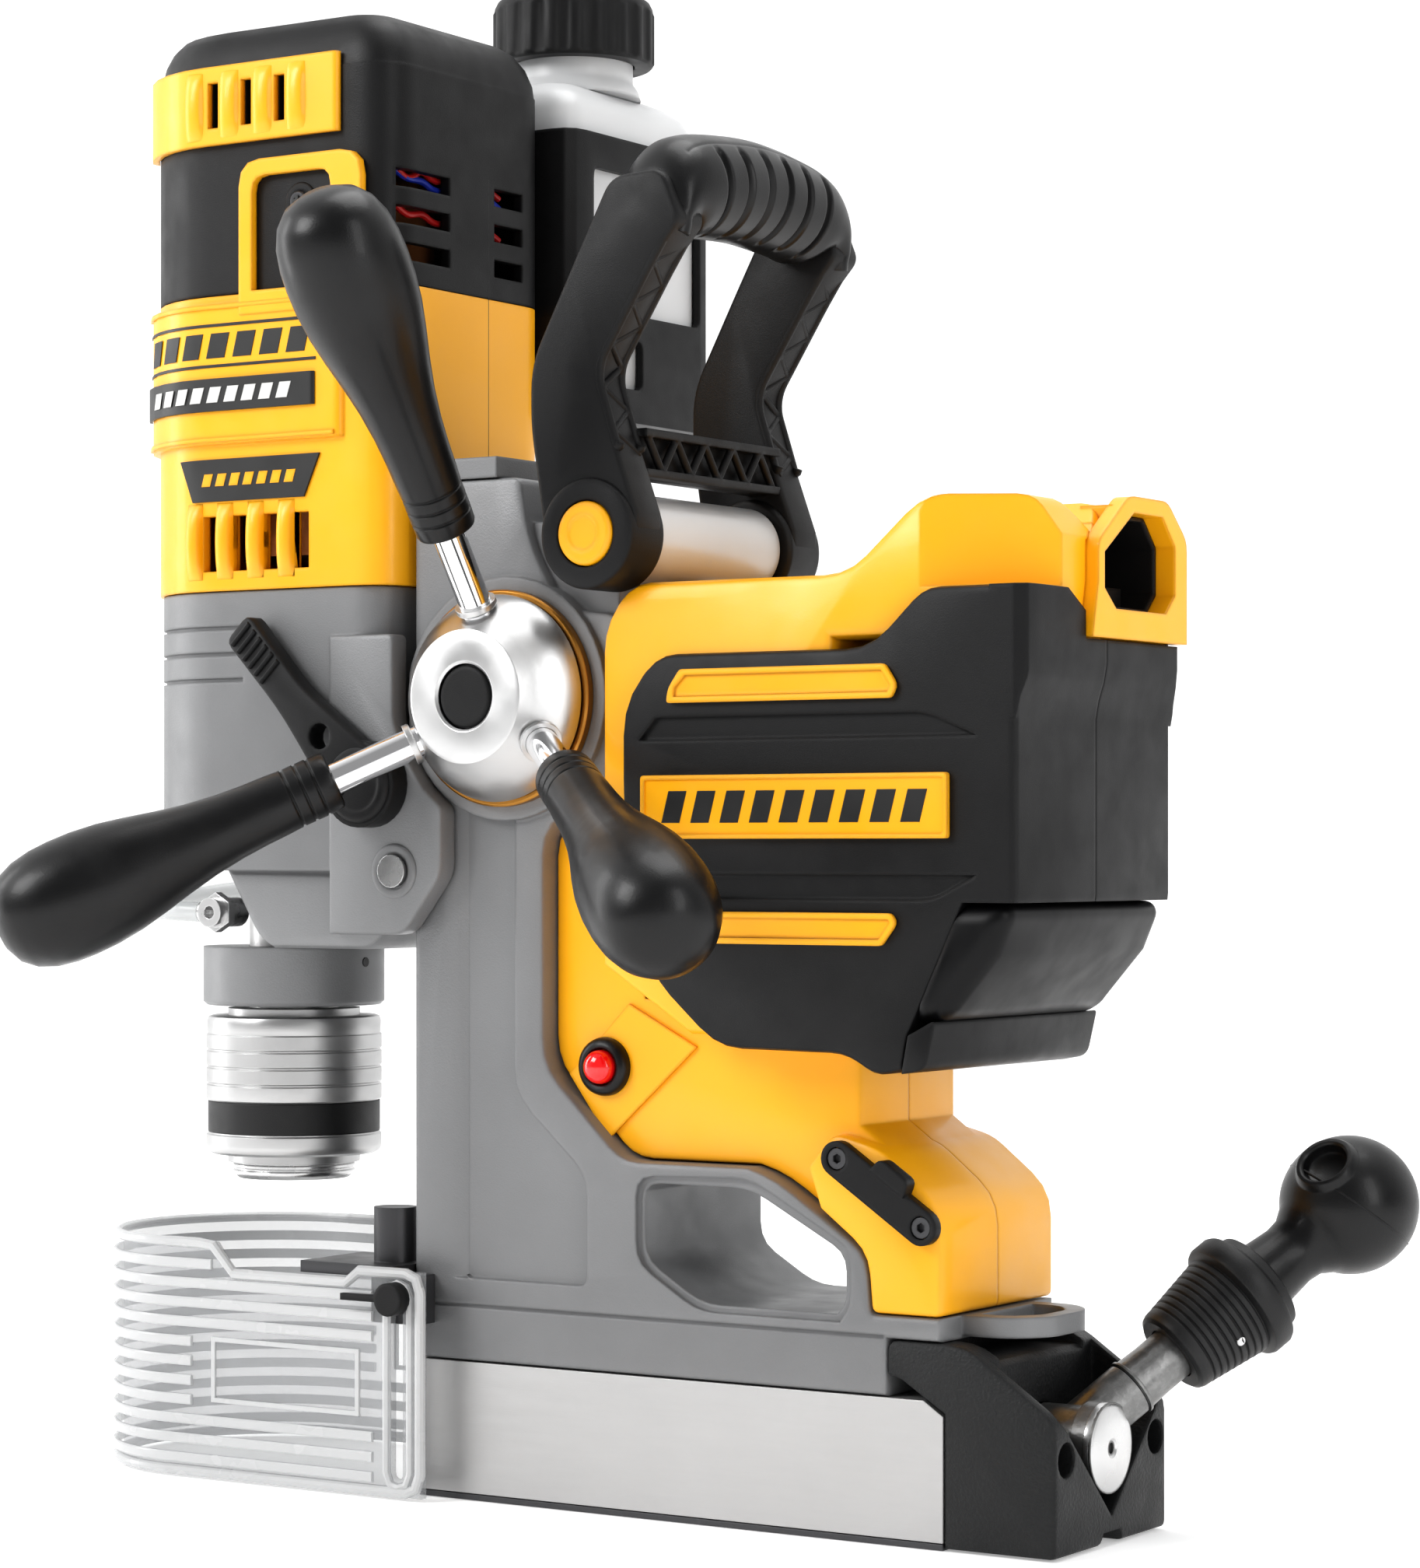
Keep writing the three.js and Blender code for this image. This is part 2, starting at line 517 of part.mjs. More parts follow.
function hoseFitting() {
  const elbow = [-168, 174];
  const body = drum('y', elbow, 4.6, -38, -24, 16);
  const collar = drum('y', elbow, 6.2, -35, -32, 6);
  const barb = turned([[0, 0], [3.4, 0], [3.4, 9], [0, 9]], new THREE.Vector3(-168, -30, 174),
    new THREE.Vector3(-1, 0, 0), 16);
  return cut(join(body, collar, barb), drum('y', elbow, 2, -40, -34, 10));
}

const HOSE = { radius: 3.6, sides: 8, steps: 44 };

function coolantHose() {
  const route = new THREE.CatmullRomCurve3([
    [-177.6, -30, 174], [-192, -30, 174.5], [-206, -22, 175.5], [-213, -6, 177], [-210, 16, 179],
    [-196, 38, 184], [-176, 54, 203], [-158, 62, 245], [-136, 75, 295], [-119, 84.5, 316], [-116, 85, 330.2],
  ].map(([x, y, z]) => new THREE.Vector3(x, y, z)));
  const section = new THREE.Shape();
  section.absarc(0, 0, HOSE.radius, 0, Math.PI * 2);
  return solidOf(new THREE.ExtrudeGeometry(section, {
    extrudePath: route, steps: HOSE.steps, curveSegments: HOSE.sides / 2, bevelEnabled: false,
  }));
}

function roundedPlan(x, y, halfX, halfY, round) {
  return [
    [x - halfX, y - halfY, round], [x + halfX, y - halfY, round],
    [x + halfX, y + halfY, round], [x - halfX, y + halfY, round],
  ];
}

function coolantBottle() {
  const { x, y, halfX, halfY, bottom, shoulder, neck } = BOTTLE;
  const wall = 2;
  const lower = prism('z', roundedPlan(x, y, halfX, halfY, 7), bottom, 420);
  const upper = prism('z', roundedPlan(x, y, halfX, halfY, 14), 400, shoulder + 6, 9);
  const throat = drum('z', [x, y], neck, 430, 464, 28);
  const room = prism('z', roundedPlan(x, y, halfX - wall, halfY - wall, 7), bottom + wall, 428);
  return cut(join(lower, upper, throat), room, drum('z', [x, y], neck - wall, 420, 465, 28));
}

function bottleCap() {
  const { x, y, neck } = BOTTLE;
  const ribs = 40;
  const shape = new THREE.Shape();
  for (let i = 0; i < ribs * 2; i++) {
    const radius = i % 2 ? 26.6 : 25.8;
    const turn = i * Math.PI / ribs;
    const point = [x + radius * Math.cos(turn), y + radius * Math.sin(turn)];
    if (i === 0) shape.moveTo(...point);
    else shape.lineTo(...point);
  }
  shape.closePath();
  const knurl = prism('z', shape, 450, 469);
  const crown = drum('z', [x, y], 25, 468, 471.5, 32);
  return cut(join(knurl, crown), drum('z', [x, y], neck + 0.4, 449, 466, 28));
}

function bottleCradle() {
  const { x, y, halfX, halfY, bottom } = BOTTLE;
  const floor = bottom - GAP - CRADLE_WALL;
  const shell = prism('z', roundedPlan(x, y, halfX + CRADLE_WALL + 0.4, halfY + CRADLE_WALL, 8), floor, 422);
  const room = prism('z', roundedPlan(x, y, halfX + 0.4, halfY + 0.4, 7), bottom - GAP, 423);
  const upperWindow = prism('x', [[56, 366, 3], [118, 366, 3], [118, 411, 3], [56, 411, 3]], -96, -80);
  const lowerWindow = prism('x', [[66, 342, 3], [84, 342, 3], [84, 358, 3], [66, 358, 3]], -96, -80);
  return cut(shell, room, upperWindow, lowerWindow);
}

// ---------------------------------------------------------------- battery housing behind the column
const HOUSING_SIDE = [
  [-17.6, 160], [-17.6, 258, 8], [-8, 270, 6], [64, 270, 8], [88, 291, 7], [115, 291, 4],
  [HOUSING.rear, 280], [HOUSING.rear, 252], [60, 252], [60, 141], [12, 141],
];
const NECK_SIDE = [
  [-44.6, 131, 8], [-44.6, 199.4, 8], [-17.6, 213.4], [60, 214], [60, 116], [89, 95, 8], [89, 64.1, 2],
  [66.9, 64.1, 2], [65.4, 80.8, 6], [34.4, 101.5, 8], [26, 103.5], [-16.8, 103.5, 6],
];
const BLOCK_SIDE = [
  [46, 104], [54, 114, 4], [70, 110, 4], [89, 95, 8], [89, 64.1, 2], [66.9, 64.1, 2], [65.4, 80.8, 6],
  [50, 92.4],
];
const COVER_SIDE = [
  [-8, 205, 8], [-8, 236, 10], [4, 249, 6], [74, 249, 8], [91, 265.2, 5], [120, 265.2, 3], [120, 178, 3],
  [94, 146, 6], [90, 134, 4], [76, 131, 4], [66, 137, 5], [24, 137.5, 8], [2, 157, 8],
];
const BUMPER_SIDE = [[104, 178.6], [119.4, 178.6, 2], [94.6, 145, 6], [91, 132.6, 3], [84.4, 131.6, 2], [86.4, 142]];
const BAY_MOUTH = [[-5, 266], [2, 260.5], [33, 260.5], [39, 266], [39, 280], [31, 288], [13, 288], [-5, 276]];
const BAY_RING = [
  [-12, 252.3], [46.4, 252.3], [46.4, 282, 3], [34, 292.6, 3], [10, 292.6, 3], [-8.6, 279, 3], [-8.6, 268],
];

const RING_ROOT = [[6, 252.3], [43, 252.3], [43, 279, 3], [34, 290, 3], [6, 290]];

function rearHousing(side) {
  const half = (corners, inner, outer, bevel = 0) => {
    const whole = prism('y', corners, -outer, outer, bevel);
    return whole.intersect(box(-60, 140, ...sideRange(side, inner, outer + 1), 50, 310));
  };
  const shell = join(
    half(HOUSING_SIDE, 0.15, HOUSING.half, 3),
    half(NECK_SIDE, 0.15, HOUSING.neckHalf, 1.5),
    half(BLOCK_SIDE, 0.15, HOUSING.blockHalf, 1.5),
  );
  const room = box(-13, 56, ...sideRange(side, 0, HOUSING.half - 3.4), 150, 255);
  const neckRoom = box(-38, 54, ...sideRange(side, 0, HOUSING.neckHalf - 3.4), 116, 160);
  const bay = prism('x', BAY_MOUTH, 92, 130);
  const notch = prism('x', [[-14, 291.5], [-4, 281.5], [9, 291.5], [9, 300], [-14, 300]], 95, 130);
  const farCorner = prism('x', [[31, 291.5], [44.5, 279], [60, 279], [60, 300], [31, 300]], 92, 130);
  const handleSweep = drum('y', [HANDLE.x, HANDLE.z], HANDLE.boss + 2, ...sideRange(side, 30, 60));
  const barrelSweep = drum('y', [HANDLE.x, HANDLE.z], 14, -40, 40);
  const seat = box(-60, HANDLE.x - 2, -31, 31, 250, 300);
  const nearCorner = prism('z', [[88, -50], [88, -43.3], [121.6, -23], [135, -23], [135, -50]], 265.6, 300);
  const whole = cut(shell, room, neckRoom, bay, notch, farCorner, nearCorner, handleSweep, barrelSweep, seat);
  if (side < 0) return whole.subtract(prism('x', BAY_RING.map(([y, z]) => [y - 0.4, z]), 120.2, 130));
  const ring = cut(join(prism('x', BAY_RING, 120.6, 125.4), prism('x', RING_ROOT, 112, 122)), bay);
  return join(whole, ring);
}

function sideCover(side) {
  const [y0, y1] = sideRange(side, 0.15, HOUSING.coverHalf);
  const shell = prism('y', COVER_SIDE, -HOUSING.coverHalf, HOUSING.coverHalf, 2)
    .intersect(box(-20, 130, y0, y1, 120, 270));
  const inner = HOUSING.half + GAP;
  const frame = prism('y', [
    [-30, 110], [-30, 275], [130, 275], [130, 251.7], [60.3, 251.7], [60.3, 110],
  ], -inner, inner);
  const room = box(60.2, 115, -HOUSING.half, HOUSING.half, 182, 247);
  const lowRoom = box(60.2, 84, -HOUSING.half, HOUSING.half, 140, 183);
  const neck = prism('y', [[50, 100], [60.3, 100], [60.3, 215], [50, 215]], -inner, inner);
  const bulge = prism('z', side < 0
    ? [[100, -47], [119.5, -47], [122.9, -45], [123.5, -41], [123.5, -0.15], [100, -0.15]]
    : [[100, 0.15], [123.5, 0.15], [123.5, 44], [120.5, 47], [100, 47]], 229, 251.7)
    .intersect(prism('y', [[100, 229], [119.9, 229], [121, 235], [122.6, 240], [123.5, 245], [123.5, 251.7],
      [100, 251.7]], -60, 60));
  const bands = [[[4, 231, 1], [92, 231, 4], [108, 224.5], [-2, 224.5]], [[-2, 186.5], [108, 186.5], [94, 179.6, 4],
    [4, 179.6, 1]]].map((corners) => prism('y', corners, ...sideRange(side, HOUSING.coverHalf - 1.2, 60)));
  const wrap = prism('z', [[112, -47], [119.5, -47], [122.9, -45], [123.5, -41], [123.5, -0.2], [121.8, -0.2],
    [121.8, -43.5], [112, -43.5]], 250, 265.2)
    .intersect(prism('x', [[-48, 245], [-48, 265.2], [-23, 265.2], [-12.6, 259.4], [-12.6, 245]], 100, 130));
  const bumperSeat = prism('y', [
    [103.5, 179], [130, 179], [130, 125], [83.8, 125], [84, 131.6], [86, 142.2],
  ], -60, 60);
  const body = cut(join(shell, bulge), frame, room, lowRoom, neck, bumperSeat, ...bands);
  return side < 0 ? join(body, wrap) : body;
}

function batteryBay() {
  const inset = ([y, z], k) => [17.5 + (y - 17.5) * k, 274 + (z - 274) * k];
  const outer = prism('x', BAY_MOUTH.map((corner) => inset(corner, 0.97)), 92.4, 119.5);
  const inner = prism('x', BAY_MOUTH.map((corner) => inset(corner, 0.91)), 94.4, 121);
  const terminals = box(98, 112, 16, 31, 261.2, 268);
  return join(outer.subtract(inner), terminals);
}

const NEAR_FACE = -HOUSING.coverHalf - GAP;
const labelPlate = () => prism('y', [[0, 196.5, 1], [100, 196.5, 1], [100, 214.5, 1], [0, 214.5, 1]],
  NEAR_FACE - 1.3, NEAR_FACE);
const upperBar = () => cut(
  prism('y', [[13, 244.5, 1], [80, 244.5, 1], [84, 238.5, 2], [82, 235, 1], [8.5, 235, 1], [9, 239, 2]],
    NEAR_FACE - 1.3, NEAR_FACE),
  prism('y', [[14.6, 242.8], [79, 242.8], [82, 238.4], [81, 236.7], [10.8, 236.7], [11, 239.3]],
    NEAR_FACE - 2, NEAR_FACE - 0.5));
const lowerBar = () => cut(
  prism('y', [[10, 167, 1], [79, 167, 1], [84, 173.5, 2], [82, 176, 1], [10, 176, 1]],
    NEAR_FACE - 1.3, NEAR_FACE),
  prism('y', [[12, 168.7], [78.2, 168.7], [81.8, 173.6], [81.2, 174.3], [12, 174.3]],
    NEAR_FACE - 2, NEAR_FACE - 0.5));

function buttonBezel() {
  const { x, z } = RED_BUTTON;
  const near = -HOUSING.neckHalf - GAP;
  const ring = turned([[5.4, 0], [7.6, 0], [8.6, 1.4], [8.6, 4.4], [5.4, 4.4], [5.4, 0]],
    new THREE.Vector3(x, near - 4.4, z), AXES.y, 28);
  return ring;
}

function redButton() {
  const { x, z, radius } = RED_BUTTON;
  const profile = [[0, 0], [2.4, 0.3], [4.2, 1.3], [radius, 2.8], [radius, 5.6], [0, 5.6]];
  return turned(profile, new THREE.Vector3(x, -HOUSING.neckHalf - 8.6, z), AXES.y, 20);
}

const LATCH = { upper: [57.5, 107], lower: [84.5, 89], radius: 5, thick: 3 };

function latchPlate() {
  const { upper, lower, radius, thick } = LATCH;
  const outer = -HOUSING.blockHalf - GAP;
  const along = new THREE.Vector2(lower[0] - upper[0], lower[1] - upper[1]).normalize();
  const up = new THREE.Vector2(-along.y, along.x);
  const at = (base, a, b) => [base[0] + along.x * a + up.x * b, base[1] + along.y * a + up.y * b];
  const bar = prism('y', [at(upper, 0, -radius), at(lower, 0, -radius), at(lower, 0, radius),
    at(upper, 0, radius)], outer - thick, outer);
  const ends = [upper, lower].map((centre) => drum('y', centre, radius, outer - thick, outer));
  const tab = prism('y', [at(upper, 11, radius - 1), at(upper, 24, radius - 1), [...at(upper, 23, radius + 4), 2],
    [...at(upper, 12, radius + 4), 2]], outer - thick - 1.5, outer);
  const holes = [upper, lower].map((centre) => drum('y', centre, 3.3, outer - 10, outer + 1, 16));
  return cut(join(bar, ...ends, tab), ...holes);
}

function latchScrew(centre) {
  const outer = -HOUSING.blockHalf - GAP;
  return cut(drum('y', centre, 3, outer - 2.6, outer, 16), drum('y', centre, 1.4, outer - 4, outer - 1, 6));
}

// ---------------------------------------------------------------- carry handle
const LEG_SIDE = [
  [-33, 284], [-38, 316, 6], [-38, 334, 8], [-23, 364, 6], [-10, 384], [8, 384], [6, 368, 4],
  [-15, 331, 6], [-9, 312, 6], [-1, 290], [-1, 284],
];

function handleBarrel() {
  const centre = [HANDLE.x, HANDLE.z];
  return join(drum('y', centre, 13, -33.7, 33.7, 32), drum('y', centre, 8, -44, 44));
}

function carryHandle() {
  const { x, z, inner, outer, boss, gripX, gripZ, gripRadius } = HANDLE;
  const pieces = [];
  for (const side of [-1, 1]) {
    pieces.push(prism('y', LEG_SIDE, ...sideRange(side, inner + 2, outer - 2), 2));
    pieces.push(drum('y', [x, z], boss, ...sideRange(side, inner, outer), 28));
    pieces.push(drum('y', [gripX, gripZ], gripRadius, ...sideRange(side, inner + 2, outer - 1), 24));
  }
  const core = drum('y', [gripX, gripZ], 9, -inner - 3, inner + 3, 16);
  const crossbar = box(-18, -6, -inner - 3, inner + 3, 301, 315);
  const holes = [-1, 1].flatMap((side) => [
    drum('y', [x, z], 8.3, ...sideRange(side, inner - 1, 45)),
    drum('y', [x, z], LOCK_BUTTON_RADIUS + 0.3, ...sideRange(side, 44.5, outer + 1), 28),
  ]);
  const pockets = [-32, -16, 0, 16].map((y) => prism('x',
    [[y, 303.5], [y + 14, 303.5], [y + 7, 312.5]], -10, 0));
  return cut(join(...pieces, core, crossbar), ...holes, ...pockets);
}

function handleGrip() {
  const { gripX, gripZ, gripRadius } = HANDLE;
  const length = 71.2;
  const profile = [
    [9.3, 0], [gripRadius - 0.5, 0], [gripRadius, 6], [gripRadius + 1, length / 2], [gripRadius, length - 6],
    [gripRadius - 0.5, length], [9.3, length], [9.3, 0],
  ];
  return turned(profile, new THREE.Vector3(gripX, -length / 2, gripZ), AXES.y, 24);
}

function lockButton(side) {
  const at = [HANDLE.x, HANDLE.z];
  return drum('y', at, LOCK_BUTTON_RADIUS, ...sideRange(side, 48.2, HANDLE.outer + 1.6), 28);
}

// ---------------------------------------------------------------- chip guard
function guardPlan(half) {
  const shape = new THREE.Shape();
  shape.moveTo(GUARD.rear, half);
  shape.lineTo(GUARD.curveX, half);
  shape.absarc(GUARD.curveX, 0, half, Math.PI / 2, Math.PI * 1.5, false);
  shape.lineTo(GUARD.rear, -half);
  return shape;
}

function chipGuard() {
  const { half, wall, rear, bottom, top, slotX } = GUARD;
  const outer = prism('z', guardPlan(half), bottom, top, 0, 16);
  const inner = prism('z', guardPlan(half - wall), bottom - 1, top + 1, 0, 16);
  const throat = box(rear - 2, rear + 5, wall - half, half - wall, bottom - 1, top + 1);
  const dip = prism('y', [[-160, top + 1], [-152, 64], [-108, 64], [-104, 68], [rear + 1, 68], [rear + 1, top + 1]],
    -half - 1, -half + wall + 1);
  const slots = [-1, 1].map((side) => prism('y', [[slotX - 2.2, 6, 2], [slotX + 2.2, 6, 2],
    [slotX + 2.2, 62.5, 2], [slotX - 2.2, 62.5, 2]], ...sideRange(side, half - wall - 1, half + 1)));
  return cut(outer, inner, throat, dip, ...slots);
}

const WING_Z = 60;

function guardBracket() {
  const reach = GUARD.half - GUARD.wall - 0.6;
  const bar = box(-101, COLUMN.front - 0.4, -reach, reach, 52, 66.5);
  const ears = [-1, 1].map((side) => box(-101, -84, ...sideRange(side, COLUMN.half + 0.5, reach), 52, 66.5));
  const shelf = box(-128, COLUMN.front - 0.4, -reach, -12, 65.5, 69);
  const post = drum('z', [-102.5, -29], 6.5, 68, 85.5, 20);
  const screwHoles = drum('y', [GUARD.slotX, WING_Z], 2.2, -60, 60, 12);
  return cut(join(bar, ...ears, shelf, post), screwHoles);
}

function wingScrew(side) {
  const at = [GUARD.slotX, WING_Z];
  const outer = GUARD.half + 0.4;
  const head = drum('y', at, 5, ...sideRange(side, outer, outer + 4.5), 20);
  const wing = box(GUARD.slotX - 18, GUARD.slotX, ...sideRange(side, outer + 2, outer + 4), WING_Z - 1, WING_Z + 1);
  return join(head, wing, drum('y', at, 1.7, ...sideRange(side, 35, outer + 1), 12));
}

// ---------------------------------------------------------------- assembly
const press = new THREE.Group();
const add = (parent, name, solid, material) => {
  const mesh = meshOf(name, solid, material);
  parent.add(mesh);
  return mesh;
};

const base = new THREE.Group();
press.add(base);
add(base, 'magnet_block', magnetBlock(), STEEL);
add(base, 'pole_plate', box(MAGNET.front, MAGNET.rear, -MAGNET.half, MAGNET.half, 0, MAGNET.plate), DARK_STEEL);
add(base, 'end_block', endBlock(), DARK_CASTING);
add(base, 'end_block_screw_near', endBlockScrew(-1), DARK_STEEL);
add(base, 'end_block_screw_far', endBlockScrew(1), DARK_STEEL);
add(base, 'column_casting', columnCasting(), CASTING);
add(base, 'column_top_plate', box(COLUMN.front, -61.5, -COLUMN.half, COLUMN.half, 303.8, 310), CASTING);
add(base, 'capstan_collar', turned([[9.9, 0], [33.5, 0], [33.5, 3], [9.9, 3], [9.9, 0]],
  capstanCentre.clone().setY(-39.2), AXES.y, 40), BRONZE);
add(base, 'rear_housing_near', rearHousing(-1), YELLOW);
add(base, 'rear_housing_far', rearHousing(1), YELLOW);
add(base, 'side_cover_near', sideCover(-1), CHARCOAL);
add(base, 'side_cover_far', sideCover(1), CHARCOAL);
add(base, 'rear_bumper', prism('y', BUMPER_SIDE, -HOUSING.coverHalf - 1, HOUSING.coverHalf + 1), GLOSS_BLACK);
add(base, 'battery_bay', batteryBay(), CHARCOAL);
add(base, 'label_plate', labelPlate(), YELLOW);
add(base, 'upper_bar', upperBar(), YELLOW);
add(base, 'lower_bar', lowerBar(), YELLOW);
add(base, 'button_bezel', buttonBezel(), CHARCOAL);
add(base, 'red_button', redButton(), RED);
add(base, 'latch_plate', latchPlate(), CHARCOAL);
add(base, 'latch_screw_upper', latchScrew(LATCH.upper), DARK_STEEL);
add(base, 'latch_screw_lower', latchScrew(LATCH.lower), DARK_STEEL);
add(base, 'handle_barrel', handleBarrel(), SILVER_PAINT);
add(base, 'guard_bracket', guardBracket(), DARK_STEEL);

const lever = new THREE.Group();
press.add(lever);
add(lever, 'magnet_shaft', magnetShaft(), DARK_STEEL);
add(lever, 'lever_arm', leverArm(), DARK_STEEL);
add(lever, 'lock_sleeve', lockSleeve(), RUBBER);
add(lever, 'lever_knob', leverKnob(), RUBBER);

const guard = new THREE.Group();
press.add(guard);
add(guard, 'chip_guard', chipGuard(), CLEAR);
add(guard, 'wing_screw_near', wingScrew(-1), CHARCOAL);
add(guard, 'wing_screw_far', wingScrew(1), CHARCOAL);

const handle = new THREE.Group();
press.add(handle);
add(handle, 'carry_handle', carryHandle(), CHARCOAL);
add(handle, 'handle_grip', handleGrip(), RUBBER);
add(handle, 'lock_button_near', lockButton(-1), YELLOW);
add(handle, 'lock_button_far', lockButton(1), YELLOW);

const carriage = new THREE.Group();
press.add(carriage);
add(carriage, 'gearbox_housing', gearboxHousing(), CASTING);
add(carriage, 'slide_bar', slideBar(), STEEL);
add(carriage, 'motor_housing', motorHousing(), YELLOW);
add(carriage, 'motor_cap', motorCap(), CHARCOAL);
add(carriage, 'vent_panel', ventPanel(), YELLOW);
add(carriage, 'badge_plate', flankBand(2.6, 0.9, 328, 338, -121, -200), CHARCOAL);
add(carriage, 'motor_core', drum('z', [SPINDLE_X + 18, 0], 30, 284, 425, 32), DARK_STEEL);
add(carriage, 'quill', quill(), CASTING);
add(carriage, 'gib_bolt', drum('y', [-93, 187], 5, -44, -42 - GAP, 20), STEEL);
add(carriage, 'gear_lever', gearLever(), CHARCOAL);
add(carriage, 'hose_fitting', hoseFitting(), STEEL);
add(carriage, 'coolant_hose', coolantHose(), CLEAR);
add(carriage, 'bottle_cradle', bottleCradle(), CHARCOAL);
add(carriage, 'coolant_bottle', coolantBottle(), BOTTLE_WHITE);
add(carriage, 'bottle_cap', bottleCap(), CHARCOAL);
add(carriage, 'spindle_chuck', spindleChuck(), STEEL);
add(carriage, 'chuck_sleeve', chuckSleeve(), STEEL);

const capstan = new THREE.Group();
press.add(capstan);
const spokes = { upper: 90 * DEG, front: 210 * DEG, rear: 330 * DEG };
add(capstan, 'capstan_hub', capstanHub(Object.values(spokes)), STEEL);
add(capstan, 'pinion_shaft', pinionShaft(), DARK_STEEL);
for (const [place, angle] of Object.entries(spokes)) {
  const length = ROD.end - ROD.start;
  const rod = turned([[0, 0], [ROD.radius, 0], [ROD.radius, length], [0, length]],
    spokeStart(angle, ROD.start), spokeDirection(angle), 20);
  add(capstan, `capstan_rod_${place}`, rod, CHROME);
  add(capstan, `capstan_grip_${place}`, capstanGrip(angle), RUBBER);
}

export default press;
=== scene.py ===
"""Looks for the magnetic drill press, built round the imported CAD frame. Lengths below are millimetres."""
import math

import bmesh
import bpy
import numpy as np
from mathutils import Matrix, Vector


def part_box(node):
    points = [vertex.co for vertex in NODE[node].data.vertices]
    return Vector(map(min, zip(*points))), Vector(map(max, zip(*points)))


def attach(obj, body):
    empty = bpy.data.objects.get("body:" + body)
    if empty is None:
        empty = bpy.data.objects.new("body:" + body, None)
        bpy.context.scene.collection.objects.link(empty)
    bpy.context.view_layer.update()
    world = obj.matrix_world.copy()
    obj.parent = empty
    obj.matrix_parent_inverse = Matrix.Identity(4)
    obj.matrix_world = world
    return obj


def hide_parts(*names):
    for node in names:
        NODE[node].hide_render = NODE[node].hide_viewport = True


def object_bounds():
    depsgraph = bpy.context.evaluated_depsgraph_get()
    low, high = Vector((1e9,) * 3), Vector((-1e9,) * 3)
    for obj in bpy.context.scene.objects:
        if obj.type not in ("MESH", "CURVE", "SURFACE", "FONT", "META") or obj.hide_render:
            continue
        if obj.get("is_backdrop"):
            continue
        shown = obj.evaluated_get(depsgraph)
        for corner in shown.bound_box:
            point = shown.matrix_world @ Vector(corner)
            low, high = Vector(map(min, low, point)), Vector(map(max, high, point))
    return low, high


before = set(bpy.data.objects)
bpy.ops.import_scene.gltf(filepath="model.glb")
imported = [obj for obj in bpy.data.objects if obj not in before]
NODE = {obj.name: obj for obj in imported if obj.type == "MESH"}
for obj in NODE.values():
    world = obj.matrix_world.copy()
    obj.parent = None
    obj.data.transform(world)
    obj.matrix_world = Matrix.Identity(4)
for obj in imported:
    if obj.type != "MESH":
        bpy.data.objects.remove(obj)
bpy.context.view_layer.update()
MM = 0.001
X, Y, Z = Vector((1, 0, 0)), Vector((0, 1, 0)), Vector((0, 0, 1))


def box_mm(node):
    low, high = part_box(node)
    return low / MM, high / MM


# ------------------------------------------------------------------ node tree helpers
def tree_of(name):
    mat = bpy.data.materials.new(name)
    mat.use_nodes = True
    nodes, links = mat.node_tree.nodes, mat.node_tree.links
    return mat, nodes, links, nodes["Principled BSDF"]


def noise(nodes, links, coord, scale, detail=2.0, rough=0.5, stretch=None):
    tex = nodes.new("ShaderNodeTexNoise")
    tex.inputs["Scale"].default_value = scale
    tex.inputs["Detail"].default_value = detail
    tex.inputs["Roughness"].default_value = rough
    source = coord
    if stretch:
        mapping = nodes.new("ShaderNodeMapping")
        mapping.inputs["Scale"].default_value = stretch
        links.new(coord, mapping.inputs["Vector"])
        source = mapping.outputs["Vector"]
    links.new(source, tex.inputs["Vector"])
    return tex.outputs["Fac"]


def ramp(nodes, links, fac, low, high, start=0.3, end=0.7):
    node = nodes.new("ShaderNodeMapRange")
    node.inputs["From Min"].default_value = start
    node.inputs["From Max"].default_value = end
    node.inputs["To Min"].default_value = low
    node.inputs["To Max"].default_value = high
    links.new(fac, node.inputs["Value"])
    return node.outputs["Result"]


def mixed(nodes, links, fac, first, second):
    node = nodes.new("ShaderNodeMix")
    node.data_type = "RGBA"
    for socket, value in ((6, first), (7, second)):
        if isinstance(value, tuple):
            node.inputs[socket].default_value = (*value, 1)
        else:
            links.new(value, node.inputs[socket])
    links.new(fac, node.inputs[0])
    return node.outputs[2]


def shade(color, factor):
    return tuple(min(1.0, c * factor) for c in color)


